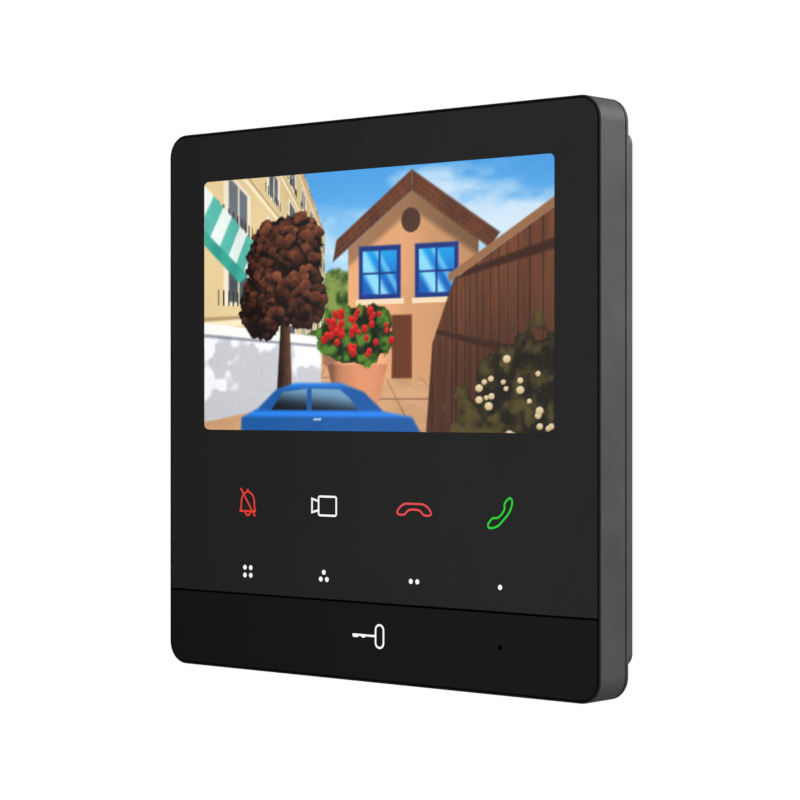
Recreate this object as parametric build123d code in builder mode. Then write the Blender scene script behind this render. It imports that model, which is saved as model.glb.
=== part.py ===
from build123d import *
import os
from math import degrees

# Video intercom monitor, in millimetres.
# The origin is on the wall, at the centre of the wall plate's slots. X is to the right seen from
# the front, +Z is up, and the front faces -Y. A depth is counted from the front face backwards.

# ---------------------------------------------------------------- driving dimensions
# Face
face_width = 116.8
face_height = 116.2
face_corner = 4.8
least_corner = 0.3
edge_round = 0.5
frame_wall = 1.6
lip = 0.42
panel_gap = 0.13
bar_gap = 0.18
plate_edge = 0.12
seam_gap = 0.30
bar_height = 16.3

# Stack from the front face to the wall
panel_thickness = 1.5
gasket_thickness = 0.5
display_thickness = 2.9
board_room = 1.1
board_thickness = 1.2
post_height = 0.5
cover_wall = 1.5
pad_rise = 1.6

# Display: a 4.3 inch panel
active_width = 95.04
active_height = 53.86
display_width = 105.5
display_height = 67.2
display_from_top = 10.78
display_border_top = 4.4
window_corner = 1.2
window_flange = 1.5
flange_thickness = 0.6
lens_gap = 0.05
steel_sheet = 0.3
glass_thickness = 1.2
gasket_window_gap = 0.4
bezel_window_gap = 0.8
bezel_corner = 0.6
sheet_gap = 0.1
flex_x = (-42.0, -28.0)
flex_slot_gap = 0.6
flex_thickness = 0.15
flex_radius = 0.7
flex_drop = 0.9
connector_height = 1.0
connector_length = 4.0
connector_margin = 1.0
connector_slot = (0.8, 1.2, 0.2)
ribbon_x = (27.0, 35.0)

# Touch keys
key_columns = (-34.33, -12.3, 12.3, 34.33)
key_row_below_display = 6.82
light_box_depth = 2.5
light_box_margin = 9.67
light_box_above_row = 5.3
light_box_below_row = 5.7
key_cell = (13.0, 9.4)
key_cell_corner = 1.0
cell_gap = 0.3
contact_wall = 1.0
contact_corners = (0.8, 0.5)
key_light = (3.0, 1.4, 0.6)
key_board_thickness = 1.0
key_board_margin = 10.4
key_board_above_seam = 0.3
key_board_under_box = 0.2

# Frame shelf and seam rail
shelf_width = 2.9
shelf_thickness = 1.7
rail_height = 7.5
rail_below_seam = 2.5
rail_end_gap = 0.5
bar_room = 0.8
key_post_radius = 2.0
key_post_from_side = 13.4
key_post_inner = 15.0
key_post_rise = 2.0
key_screw_radius = 0.8
key_screw_bite = 1.7
key_hole_gap = 0.2
key_screw_head = (1.6, 0.5)
key_screw_drive = (1.6, 0.35, 0.3)

# Door-release bar, its hinge and its switch
pivot_below_seam = 1.8
pivot_behind_panel = 2.0
hinge_pin_radius = 0.75
hinge_clearance = 0.05
lug_thickness = 2.0
lug_radius = 1.45
lug_overlap = 0.5
ear_thickness = 1.7
ear_half_height = 2.0
ear_root = 0.2
notch_overrun = 1.0
notch_above_seam = 0.2
side_play = 0.3
catch_width = 4.0
catch_thickness = 1.0
catch_overlap = 0.7
catch_clearance = 0.3
catch_spacing = 1.4
barb_gap = 0.1
barb_length = 1.0
switch_below_pivot = 6.9
switch_size = 4.5
switch_height = 1.4
switch_corner = 0.4
switch_face = 0.3
plunger_radius = 1.2
plunger_rise = 0.5
plunger_flange = 0.5
plunger_clearance = 0.06
plunger_seat_gap = 0.05
flange_plate = 0.4
switch_travel = 0.25
nose_gap = 0.05
nose_radius = 0.9
nose_root = 0.3
pin_end_gap = 0.1

# Microphone
mic_x = 34.3
mic_above_bottom = 9.44
mic_hole_radius = 0.5
mic_radius = 2.0
mic_height = 1.3
mic_port = (0.5, 0.3)
mic_board_margin = 2.7
mic_board = (10.0, 4.0)
boot_wall = 0.9
boot_front_gap = 0.45
boot_port_radius = 0.8

# Rear cover
groove_width = 0.4
groove_depth = 0.6
cover_rim = 0.6
tongue_clearance = 0.1
tongue_wall = 1.3
tongue_length = 1.1
pad_inset = 6.3
pad_corner = 2.8
pad_edge = 0.3

# Wall plate
plate_thickness = 1.2
plate_gap = 0.1
plate_side_margin = 4.9
plate_top_band = 7.48
plate_bottom = -41.0
plate_corner = 3.0
wall_hole_spacing = 60.3
wall_slot_length = 7.0
wall_slot_radius = 2.1
recess_side_gap = 0.5
recess_top_gap = 0.3
recess_bottom_gap = 1.3
recess_corner = 1.0
corner_hole_spacing = (80.0, 72.0)
corner_hole_radius = 2.2
hook_inset = 6.0
hook_levels = (20.0, -37.0)
hook_width = 7.0
hook_height = 5.0
hook_clearance = 0.15
hook_slot_gap = 0.4
hook_root_gap = 0.05
hook_relief = (0.5, 9.5)
lift_travel = 4.2

# Rear box, which goes into the wall box, and the cable bay under it
box_width = 48.0
box_height = 41.0
box_reach = 11.5
box_corner = 2.0
bay_height = 24.0
bay_wall = 1.2
bay_gap = 0.5
bay_above_display = 6.5
bay_corner = 0.5
window_side_gap = 1.5
window_top_gap = 6.5
plate_window_corner = 2.0
mouth_gap = 0.2
mouth_depth_gap = 0.1
vent_slot = (11.0, 1.2)
vent_grid = (15.0, 3.0, 2, 6)
vent_rise = 4.0

# Main board
main_board_width = 84.0
board_below_display_top = 1.72
board_edge_gap = 0.4
board_screw_radius = 0.8
board_screw_head = (1.7, 0.9)
board_screw_inset = 2.5
board_screw_rise = 12.0
board_screw_bite = 1.2
board_screw_drive = (2.0, 0.4, 0.5)
board_screw_hole_gap = 0.3
board_post_radius = 2.2
board_corner = 1.0

# Chips on the back of the main board: places are X, and Z above the cable bay's top
chip_corner = 0.2
processor_place = (11.5, 18.5)
processor_size = (14.0, 14.0, 1.3)
working_memory_place = (-1.2, 19.0)
working_memory_size = (8.0, 12.0, 1.1)
flash_memory_place = (-1.2, 28.0)
flash_memory_size = (6.0, 4.0, 0.9)
power_row = 34.0
power_chip_place = (18.8, power_row)
power_chip_size = (5.0, 5.0, 0.9)
inductor_columns = (3.0, 11.5)
inductor_size = (7.2, 7.2, 3.2)
inductor_corner = 1.2
capacitor_columns = (-18.0, -10.5)
capacitor_base = (6.6, 0.8)
capacitor_can = (3.15, 7.7)
transformer_place = (-13.6, 23.5)
transformer_size = (12.7, 9.0, 5.8)
transformer_corner = 0.5

# Radio module, its lead and its antenna
radio_from_side = 6.2
radio_below_row = 1.6
radio_board = (11.4, 13.0, 0.7)
radio_shield = (10.4, 10.4, 1.3)
radio_shield_rise = 0.8
radio_shield_corner = 0.5
antenna_size = (30.0, 7.0, 0.3)
antenna_left_of_radio = 10.0
antenna_below_seam = 7.8
antenna_corner = 0.5
lead_radius = 0.55
lead_gap = 0.1

# Network jack, and its place in the rear box
jack_x = -13.5
jack_size = (16.2, 13.3, 17.0)
jack_shield = 0.25
socket_size = (11.8, 6.8, 12.5)
latch_size = (6.2, 1.6)
socket_offset = 1.6
contact_radius = 0.22
contact_pitch = 1.02
contact_count = 8
contact_inset = 0.6
contact_from_mouth = 2.5

# Screw terminal: a header on the board and a plug that pulls off
terminal_x = 9.5
terminal_ways = 6
terminal_pitch = 3.5
header_size = (23.0, 7.2, 8.0)
header_wall = 0.8
header_back_wall = 1.4
plug_fit = 0.1
plug_length = 9.8
plug_height = 9.4
plug_side_step = 0.3
plug_end_gap = 0.4
plug_block_gap = 0.3
plug_lip = 0.5
plug_corner = 0.4
header_pin = 0.9
pin_clearance = 0.2
pin_hole_stop = 0.8
pin_length = 8.3
terminal_screw_radius = 1.3
terminal_screw_gap = 0.1
terminal_screw_rise = 3.6
terminal_screw_length = 1.9
terminal_screw_sunk = 0.7
terminal_screw_drive = (0.5, 0.6)
wire_hole = (2.4, 2.6, 7.0)
wire_hole_wall = 0.6
clamp_gap = 0.1
clamp_thickness = 0.5
clamp_rise = 2.4

# Speaker
speaker_size = (32.0, 12.0, 3.6)
speaker_left_gap = 10.8
speaker_corner = 2.0
speaker_gasket_thickness = 0.5
speaker_rim = 1.0
speaker_above_bottom = 3.3
speaker_lip = 1.0
speaker_bowl = 1.2
cone_thickness = 0.3
cone_gap = 0.1
dome_size = (18.0, 6.0, 0.5)
dome_corner = 2.0
dome_slope = 45.0
magnet_size = (18.0, 6.6)
magnet_corner = 0.5
magnet_rise = 0.2
speaker_slot = (7.0, 1.0)
speaker_slot_web = 2.0
speaker_slot_grid = (3, 2)
speaker_slot_below_pad = 1.9

# Housing screws
housing_screw_inset = 4.6
housing_screw_radius = 1.0
housing_head = (1.8, 1.1)
housing_boss_radius = 2.0
housing_core_radius = 0.8
housing_screw_bite = 2.6
housing_screw_sunk = 0.1
housing_drive = (2.0, 0.45, 0.6)
housing_hole_gap = 0.2
housing_head_gap = 0.1
boss_below_cover = 0.7
thread_gap = 0.02
thread_end_gap = 0.2

# ---------------------------------------------------------------- derived places
side = face_width / 2
top = face_height / 2
pad_height = face_height - 2 * pad_inset
seam_z = bar_height - top

display_rear = panel_thickness + gasket_thickness + display_thickness
board_front = display_rear + board_room
board_rear = board_front + board_thickness
cover_inside = board_rear + post_height
rim_rear = cover_inside + cover_wall
body_depth = rim_rear + pad_rise
rim_front = rim_rear - cover_rim
frame_rear = rim_front - groove_width
shelf_rear = panel_thickness + shelf_thickness

active_z = top - display_from_top - active_height / 2
display_top = top - display_from_top + display_border_top
display_bottom = display_top - display_height
display_z = (display_top + display_bottom) / 2
bezel_front = panel_thickness + gasket_thickness
glass_front = bezel_front + steel_sheet
glass_rear = glass_front + glass_thickness

key_row_z = display_bottom - key_row_below_display
key_board_front = panel_thickness + light_box_depth
key_board_rear = key_board_front + key_board_thickness
light_box_top = key_row_z + light_box_above_row
light_box_bottom = key_row_z - light_box_below_row
light_box_side = key_columns[-1] + light_box_margin
key_board_side = side - key_board_margin
key_board_top = light_box_top - key_board_under_box
rail_top = seam_z + rail_height - rail_below_seam
rail_bottom = rail_top - rail_height
key_board_bottom = seam_z + key_board_above_seam
key_post_z = key_board_bottom + key_post_rise
key_post_outer = side - key_post_from_side
key_posts = [(x, key_post_z) for x in (-key_post_outer, -key_post_inner, key_post_inner, key_post_outer)]

pivot_z = seam_z - pivot_below_seam
pivot_depth = panel_thickness + pivot_behind_panel
bar_top = seam_z - seam_gap / 2
lug_outer = side - shelf_width - ear_thickness + lug_overlap
lug_inner = lug_outer - lug_thickness
ear_inner = lug_outer + side_play
ear_outer = ear_inner + ear_thickness
switch_z = pivot_z - switch_below_pivot
plunger_front = key_board_front - switch_height - plunger_rise
nose_front = plunger_front - nose_gap
catch_x = lug_inner - catch_width - catch_spacing
shelf_bottom = shelf_width - top
catch_z = shelf_bottom + catch_clearance
mic_z = mic_above_bottom - top
mic_board_bottom = switch_z - mic_board_margin

plate_side = side - plate_side_margin
hook_x = plate_side - hook_inset
recess_depth = body_depth - plate_thickness - plate_gap
finger_rear = cover_inside - hook_clearance
finger_front = finger_rear - plate_thickness

bay_top = display_bottom + bay_above_display
bay_bottom = bay_top - bay_height
box_side = box_width / 2
box_top = bay_top + box_height
plate_top = box_top + window_top_gap + plate_top_band
box_rear = body_depth + box_reach
bay_floor_front = key_board_rear + bay_gap
bay_floor_rear = bay_floor_front + bay_wall
board_bottom = bay_top + bay_wall + board_edge_gap
board_side = main_board_width / 2
main_board_top = display_top - board_below_display_top
screw_posts = [
    (x, z)
    for x in (board_screw_inset - board_side, board_side - board_screw_inset)
    for z in (board_bottom + board_screw_rise, main_board_top - board_screw_inset)
]

speaker_x = frame_wall + speaker_left_gap + speaker_size[0] / 2 - side
speaker_z = speaker_above_bottom + speaker_size[1] / 2 - top
speaker_rear = cover_inside - speaker_gasket_thickness
speaker_front = speaker_rear - speaker_size[2]

housing_screw_places = [
    (x, z)
    for x in (housing_screw_inset - side, side - housing_screw_inset)
    for z in (housing_screw_inset - top, top - housing_screw_inset)
]
boss_rear = cover_inside - boss_below_cover


# ---------------------------------------------------------------- helpers
def at_depth(depth):
    """The sketch plane a depth behind the front face, with X to the right and Z up."""
    return Plane.XZ.offset(body_depth - depth)


def block(x, z, depths, corner=0, mode=Mode.ADD):
    """A plate between two X limits, two Z limits and two depths, with round corners if asked."""
    with BuildSketch(at_depth(depths[0])) as outline:
        with Locations(((x[0] + x[1]) / 2, (z[0] + z[1]) / 2)):
            if corner:
                RectangleRounded(x[1] - x[0], z[1] - z[0], corner)
            else:
                Rectangle(x[1] - x[0], z[1] - z[0])
    extrude(outline.sketch, amount=depths[0] - depths[1], mode=mode)


def around(x, z, width, height, depths, corner=0, mode=Mode.ADD):
    """A plate of a width and a height about a centre."""
    block((x - width / 2, x + width / 2), (z - height / 2, z + height / 2), depths, corner, mode)


def studs(places, radius, depths, mode=Mode.ADD):
    """Round bosses or holes along Y at each place."""
    with BuildSketch(at_depth(depths[0])) as outline:
        with Locations(*places):
            Circle(radius)
    extrude(outline.sketch, amount=depths[0] - depths[1], mode=mode)


def face_outline(inset, depths, mode=Mode.ADD):
    """The face's own rounded outline, moved in by an inset."""
    around(
        0,
        0,
        face_width - 2 * inset,
        face_height - 2 * inset,
        depths,
        max(face_corner - inset, least_corner),
        mode,
    )


def cross_drive(places, depth, drive, way):
    """A cross recess in each screw head, cut forwards (1) or backwards (-1) from a depth."""
    length, width, deep = drive
    with BuildSketch(at_depth(depth)) as cross:
        with Locations(*places):
            Rectangle(length, width)
            Rectangle(width, length)
    extrude(cross.sketch, amount=way * deep, mode=Mode.SUBTRACT)


def save(part, name):
    """Labels a finished piece and writes it to its own file."""
    part.label = name
    export_step(part, f"parts/{name}.step")


os.makedirs("parts", exist_ok=True)

# ---------------------------------------------------------------- front frame
with BuildPart() as front_frame:
    face_outline(0, (0, frame_rear))
    fillet(front_frame.faces().sort_by(Axis.Y)[0].edges(), edge_round)
    face_outline(lip, (0, panel_thickness), Mode.SUBTRACT)
    face_outline(frame_wall, (shelf_rear, frame_rear), Mode.SUBTRACT)
    face_outline(shelf_width, (panel_thickness, shelf_rear), Mode.SUBTRACT)
    # the rail behind the seam carries the panel's lower edge
    rail_end = side - frame_wall - rail_end_gap
    block((-rail_end, rail_end), (rail_bottom, rail_top), (panel_thickness, shelf_rear))
    # room for the bar to swing in
    block(
        (lip - side, side - lip),
        (lip + face_corner - top, seam_z),
        (panel_thickness, panel_thickness + bar_room),
        mode=Mode.SUBTRACT,
    )
    around(
        0,
        lip + face_corner - top,
        face_width - 2 * lip,
        2 * face_corner,
        (panel_thickness, panel_thickness + bar_room),
        face_corner - lip,
        Mode.SUBTRACT,
    )
    # notches for the bar's hinge lugs, and the ears that hold the pins
    for hand in (-1, 1):
        notch = sorted((hand * (lug_inner - side_play), hand * ear_inner))
        notch_z = (rail_bottom - notch_overrun, seam_z + notch_above_seam)
        block(notch, notch_z, (panel_thickness, shelf_rear), mode=Mode.SUBTRACT)
        ear = sorted((hand * ear_inner, hand * (side - frame_wall + ear_root)))
        ear_z = (pivot_z - ear_half_height, pivot_z + ear_half_height)
        block(ear, ear_z, (panel_thickness + bar_room, pivot_depth + ear_half_height))
    studs(key_posts, key_post_radius, (shelf_rear, key_board_front))
    post_bore = (key_board_front - key_screw_bite - thread_end_gap, key_board_front)
    studs(key_posts, key_screw_radius + thread_gap, post_bore, Mode.SUBTRACT)
    with BuildSketch(Plane.YZ) as pin_bore:
        with Locations((pivot_depth - body_depth, pivot_z)):
            Circle(hinge_pin_radius)
    extrude(pin_bore.sketch, amount=ear_outer, both=True, mode=Mode.SUBTRACT)
    # corner bosses for the housing screws
    studs(housing_screw_places, housing_boss_radius, (shelf_rear, boss_rear))
    studs(
        housing_screw_places,
        housing_core_radius + thread_gap,
        (boss_rear - housing_screw_bite - thread_end_gap, boss_rear),
        Mode.SUBTRACT,
    )
save(front_frame.part, "front_frame")

# ---------------------------------------------------------------- front panel and display window
panel_inset = lip + panel_gap
panel_bottom = seam_z + seam_gap / 2
window_width = active_width + 2 * lens_gap
window_height = active_height + 2 * lens_gap
lens_step = panel_thickness - flange_thickness
with BuildPart() as front_panel:
    face_outline(panel_inset, (0, panel_thickness))
    block((-side, side), (-top, panel_bottom), (0, panel_thickness), mode=Mode.SUBTRACT)
    chamfer(front_panel.faces().sort_by(Axis.Y)[0].edges(), plate_edge)
    around(0, active_z, window_width, window_height, (0, panel_thickness), window_corner, Mode.SUBTRACT)
    around(
        0,
        active_z,
        window_width + 2 * window_flange,
        window_height + 2 * window_flange,
        (lens_step, panel_thickness),
        window_corner,
        Mode.SUBTRACT,
    )
save(front_panel.part, "front_panel")

with BuildPart() as display_window:
    around(0, active_z, active_width, active_height, (0, lens_step), window_corner)
    around(
        0,
        active_z,
        active_width + 2 * window_flange,
        active_height + 2 * window_flange,
        (lens_step, panel_thickness),
        window_corner,
    )
save(display_window.part, "display_window")

# ---------------------------------------------------------------- door-release bar and its pins
with BuildPart() as unlock_bar:
    face_outline(lip + bar_gap, (0, panel_thickness))
    block((-side, side), (bar_top, top), (0, panel_thickness), mode=Mode.SUBTRACT)
    chamfer(unlock_bar.faces().sort_by(Axis.Y)[0].edges(), plate_edge)
    studs([(mic_x, mic_z)], mic_hole_radius, (0, panel_thickness), Mode.SUBTRACT)
    for hand in (-1, 1):
        # hinge lug: an arm with a round end, bored for the pin
        lug_plane = Plane.YZ.offset(min(hand * lug_inner, hand * lug_outer))
        with BuildSketch(lug_plane) as lug:
            with Locations((pivot_depth - body_depth, pivot_z)):
                Circle(lug_radius)
            with Locations(((pivot_depth + panel_thickness) / 2 - body_depth, pivot_z)):
                Rectangle(pivot_depth - panel_thickness, 2 * lug_radius)
            with Locations((pivot_depth - body_depth, pivot_z)):
                Circle(hinge_pin_radius + hinge_clearance, mode=Mode.SUBTRACT)
        extrude(lug.sketch, amount=lug_thickness)
        # catch: an arm with a barb behind the frame's bottom shelf
        catch = sorted((hand * catch_x, hand * (catch_x + catch_width)))
        barb = (shelf_rear + barb_gap, shelf_rear + barb_gap + barb_length)
        block(catch, (catch_z, catch_z + catch_thickness), (panel_thickness, barb[1]))
        block(catch, (shelf_bottom - catch_overlap, catch_z), barb)
    # nose that works the switch, rounded so that it rolls on the plunger
    nose_middle = nose_front - nose_radius
    nose_start = panel_thickness - nose_root
    with BuildSketch(Plane.YZ.offset(-plunger_radius)) as nose:
        with Locations((nose_middle - body_depth, switch_z)):
            Circle(nose_radius)
        with Locations(((nose_start + nose_middle) / 2 - body_depth, switch_z)):
            Rectangle(nose_middle - nose_start, 2 * nose_radius)
        # nothing of it lies in front of the bar's own plate
        with Locations((nose_start / 2 - body_depth, switch_z)):
            Rectangle(nose_start, 2 * nose_radius, mode=Mode.SUBTRACT)
    extrude(nose.sketch, amount=2 * plunger_radius)
save(unlock_bar.part, "unlock_bar")

with BuildPart() as hinge_pins:
    for hand in (-1, 1):
        start = min(hand * (lug_inner - side_play + pin_end_gap), hand * ear_outer)
        with BuildSketch(Plane.YZ.offset(start)) as pin:
            with Locations((pivot_depth - body_depth, pivot_z)):
                Circle(hinge_pin_radius)
        extrude(pin.sketch, amount=ear_outer - lug_inner + side_play - pin_end_gap)
save(hinge_pins.part, "hinge_pins")

# ---------------------------------------------------------------- display
with BuildPart() as display_gasket:
    around(0, display_z, display_width, display_height, (panel_thickness, bezel_front))
    around(
        0,
        active_z,
        active_width + 2 * (window_flange + gasket_window_gap),
        active_height + 2 * (window_flange + gasket_window_gap),
        (panel_thickness, bezel_front),
        mode=Mode.SUBTRACT,
    )
save(display_gasket.part, "display_gasket")

with BuildPart() as lcd_bezel:
    around(0, display_z, display_width, display_height, (bezel_front, display_rear), bezel_corner)
    around(
        0,
        display_z,
        display_width - 2 * steel_sheet,
        display_height - 2 * steel_sheet,
        (glass_front, display_rear),
        mode=Mode.SUBTRACT,
    )
    around(
        0,
        active_z,
        active_width + 2 * bezel_window_gap,
        active_height + 2 * bezel_window_gap,
        (bezel_front, glass_front),
        mode=Mode.SUBTRACT,
    )
    # the slot in its lower edge that the flex comes out of
    block(
        (flex_x[0] - flex_slot_gap, flex_x[1] + flex_slot_gap),
        (display_bottom - sheet_gap, display_bottom + steel_sheet + sheet_gap / 2),
        (glass_front, display_rear),
        mode=Mode.SUBTRACT,
    )
save(lcd_bezel.part, "lcd_bezel")

cell_width = display_width - 2 * steel_sheet - sheet_gap
cell_height = display_height - 2 * steel_sheet - sheet_gap
with BuildPart() as lcd_glass:
    around(0, display_z, cell_width, cell_height, (glass_front, glass_rear))
save(lcd_glass.part, "lcd_glass")

with BuildPart() as lcd_backlight:
    around(0, display_z, cell_width, cell_height, (glass_rear, display_rear))
save(lcd_backlight.part, "lcd_backlight")

# The flex leaves the glass's lower edge, turns back under the module and goes up to its connector.
connector_bottom = board_bottom + connector_margin
flex_depth = board_front - connector_height / 2
glass_bottom = display_bottom + steel_sheet + sheet_gap / 2
flex_start = (glass_front + glass_rear) / 2
flex_low = display_bottom - flex_drop
cable_end = connector_bottom + connector_margin
with BuildPart() as lcd_flex_cable:
    with BuildSketch(Plane.YZ.offset(flex_x[0])) as flex_section:
        with BuildLine():
            FilletPolyline(
                (flex_start - body_depth, glass_bottom),
                (flex_start - body_depth, flex_low),
                (flex_depth - body_depth, flex_low),
                (flex_depth - body_depth, cable_end),
                radius=flex_radius,
            )
        trace(line_width=flex_thickness)
    extrude(flex_section.sketch, amount=flex_x[1] - flex_x[0])
save(lcd_flex_cable.part, "lcd_flex_cable")


def ribbon_connector(x, z, depths, slot_side):
    """A flat connector with a slot in its lower or upper end for a flat cable."""
    block(x, z, depths)
    wall, deep, half = connector_slot
    middle = (depths[0] + depths[1]) / 2
    slot_z = (z[0], z[0] + deep) if slot_side < 0 else (z[1] - deep, z[1])
    block((x[0] + wall, x[1] - wall), slot_z, (middle - half, middle + half), mode=Mode.SUBTRACT)


with BuildPart() as display_connector:
    ribbon_connector(
        (flex_x[0] - connector_margin, flex_x[1] + connector_margin),
        (connector_bottom, connector_bottom + connector_length),
        (board_front - connector_height, board_front),
        -1,
    )
save(display_connector.part, "display_connector")

# ---------------------------------------------------------------- touch keys
key_depths = (panel_thickness, key_board_front)
with BuildPart() as icon_light_box:
    block(
        (-light_box_side, light_box_side),
        (light_box_bottom, light_box_top),
        key_depths,
    )
    for x in key_columns:
        around(x, key_row_z, *key_cell, key_depths, key_cell_corner, Mode.SUBTRACT)
save(icon_light_box.part, "icon_light_box")

contact_ring = (key_cell[0] - 2 * cell_gap, key_cell[1] - 2 * cell_gap)
contact_hole = (contact_ring[0] - 2 * contact_wall, contact_ring[1] - 2 * contact_wall)
with BuildPart() as touch_contacts:
    for x in key_columns:
        around(x, key_row_z, *contact_ring, key_depths, contact_corners[0])
        around(x, key_row_z, *contact_hole, key_depths, contact_corners[1], Mode.SUBTRACT)
save(touch_contacts.part, "touch_contacts")

with BuildPart() as key_lights:
    for x in key_columns:
        around(x, key_row_z, *key_light[:2], (key_board_front - key_light[2], key_board_front))
save(key_lights.part, "key_lights")

with BuildPart() as key_board:
    board_depths = (key_board_front, key_board_rear)
    block((-key_board_side, key_board_side), (key_board_bottom, key_board_top), board_depths)
    # a lower tongue carries the switch and the microphone
    tongue_x = (-mic_board[0], key_board_side - mic_board[1])
    block(tongue_x, (mic_board_bottom, key_board_bottom), board_depths)
    studs(key_posts, key_screw_radius + key_hole_gap, board_depths, Mode.SUBTRACT)
save(key_board.part, "key_board")

with BuildPart() as key_board_screws:
    head_end = key_board_rear + key_screw_head[1]
    studs(key_posts, key_screw_radius, (key_board_front - key_screw_bite, key_board_rear))
    studs(key_posts, key_screw_head[0], (key_board_rear, head_end))
    cross_drive(key_posts, head_end, key_screw_drive, 1)
save(key_board_screws.part, "key_board_screws")

# ---------------------------------------------------------------- door-release switch
switch_front = key_board_front - switch_height
flange_front = switch_front + switch_face
switch_places = [(0, switch_z)]
with BuildPart() as unlock_switch:
    around(0, switch_z, switch_size, switch_size, (switch_front, key_board_front), switch_corner)
    bore_radius = plunger_radius + plunger_clearance
    studs(switch_places, bore_radius, (switch_front, flange_front), Mode.SUBTRACT)
    chamber = (flange_front, key_board_front - switch_face)
    studs(switch_places, bore_radius + plunger_flange, chamber, Mode.SUBTRACT)
save(unlock_switch.part, "unlock_switch")

with BuildPart() as switch_plunger:
    seat = flange_front + plunger_seat_gap
    studs(switch_places, plunger_radius, (plunger_front, seat))
    studs(switch_places, plunger_radius + plunger_flange, (seat, seat + flange_plate))
save(switch_plunger.part, "switch_plunger")

# ---------------------------------------------------------------- microphone
mic_places = [(mic_x, mic_z)]
mic_front = key_board_front - mic_height
boot_front = panel_thickness + boot_front_gap
with BuildPart() as microphone:
    studs(mic_places, mic_radius, (mic_front, key_board_front))
    studs(mic_places, mic_port[0], (mic_front, mic_front + mic_port[1]), Mode.SUBTRACT)
save(microphone.part, "microphone")

with BuildPart() as microphone_boot:
    studs(mic_places, mic_radius + boot_wall, (boot_front, key_board_front))
    studs(mic_places, mic_radius, (mic_front, key_board_front), Mode.SUBTRACT)
    studs(mic_places, boot_port_radius, (boot_front, mic_front), Mode.SUBTRACT)
save(microphone_boot.part, "microphone_boot")

# ---------------------------------------------------------------- boards and chips
with BuildPart() as main_board:
    block((-board_side, board_side), (board_bottom, main_board_top), (board_front, board_rear), board_corner)
    hole_radius = board_screw_radius + board_screw_hole_gap
    studs(screw_posts, hole_radius, (board_front, board_rear), Mode.SUBTRACT)
save(main_board.part, "main_board")

with BuildPart() as board_screws:
    head_front = board_front - board_screw_head[1]
    studs(screw_posts, board_screw_head[0], (head_front, board_front))
    studs(screw_posts, board_screw_radius, (board_front, cover_inside + board_screw_bite))
    cross_drive(screw_posts, head_front, board_screw_drive, -1)
save(board_screws.part, "board_screws")


def chip(place, size, corner=chip_corner):
    """A square chip on the back of the main board, placed from the cable bay's top."""
    x, z = place
    width, height, thickness = size
    around(x, bay_top + z, width, height, (board_rear, board_rear + thickness), corner)


with BuildPart() as processor:
    chip(processor_place, processor_size)
save(processor.part, "processor")

with BuildPart() as memory_chips:
    chip(working_memory_place, working_memory_size)
    chip(flash_memory_place, flash_memory_size)
save(memory_chips.part, "memory_chips")

with BuildPart() as power_chip:
    chip(power_chip_place, power_chip_size)
save(power_chip.part, "power_chip")

with BuildPart() as power_inductors:
    for x in inductor_columns:
        chip((x, power_row), inductor_size, inductor_corner)
save(power_inductors.part, "power_inductors")

with BuildPart() as capacitors:
    places = [(x, bay_top + power_row) for x in capacitor_columns]
    base_rear = board_rear + capacitor_base[1]
    for place in places:
        around(*place, capacitor_base[0], capacitor_base[0], (board_rear, base_rear), capacitor_base[1])
    studs(places, capacitor_can[0], (base_rear, board_rear + capacitor_can[1]))
save(capacitors.part, "capacitors")

with BuildPart() as network_transformer:
    chip(transformer_place, transformer_size, transformer_corner)
save(network_transformer.part, "network_transformer")

# The radio module sits on the key board, and its lead runs down to an antenna on the rear cover.
radio_x = key_board_side - radio_from_side
radio_z = key_row_z - radio_below_row
shield_front = key_board_rear + radio_board[2]
with BuildPart() as radio_module:
    around(radio_x, radio_z, *radio_board[:2], (key_board_rear, shield_front))
    shield_depths = (shield_front, shield_front + radio_shield[2])
    shield_z = radio_z + radio_shield_rise
    around(radio_x, shield_z, *radio_shield[:2], shield_depths, radio_shield_corner)
save(radio_module.part, "radio_module")

antenna_depth = cover_inside - antenna_size[2]
antenna_x = radio_x - antenna_left_of_radio
antenna_z = seam_z - antenna_below_seam
with BuildPart() as antenna:
    around(antenna_x, antenna_z, *antenna_size[:2], (antenna_depth, cover_inside), antenna_corner)
save(antenna.part, "antenna")

lead_top = radio_z - radio_board[1] / 2 - lead_gap
with BuildPart() as antenna_lead:
    with BuildSketch(Plane.XY.offset(antenna_z)) as lead_section:
        with Locations((radio_x, antenna_depth - lead_radius - body_depth)):
            Circle(lead_radius)
    extrude(lead_section.sketch, amount=lead_top - antenna_z)
save(antenna_lead.part, "antenna_lead")

# A ribbon joins the two boards between a connector on each.
key_connector_top = key_board_top - connector_margin
ribbon_connector_x = (ribbon_x[0] - connector_margin, ribbon_x[1] + connector_margin)
with BuildPart() as ribbon_connectors:
    ribbon_connector(
        ribbon_connector_x,
        (connector_bottom, connector_bottom + connector_length),
        (board_front - connector_height, board_front),
        -1,
    )
    ribbon_connector(
        ribbon_connector_x,
        (key_connector_top - connector_length, key_connector_top),
        (key_board_rear, key_board_rear + connector_height),
        1,
    )
save(ribbon_connectors.part, "ribbon_connectors")

with BuildPart() as board_ribbon_cable:
    with BuildSketch(Plane.YZ.offset(ribbon_x[0])) as ribbon_section:
        with BuildLine():
            Line(
                (key_board_rear + connector_height / 2 - body_depth, key_connector_top - connector_margin),
                (flex_depth - body_depth, cable_end),
            )
        trace(line_width=flex_thickness)
    extrude(ribbon_section.sketch, amount=ribbon_x[1] - ribbon_x[0])
save(board_ribbon_cable.part, "board_ribbon_cable")

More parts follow.
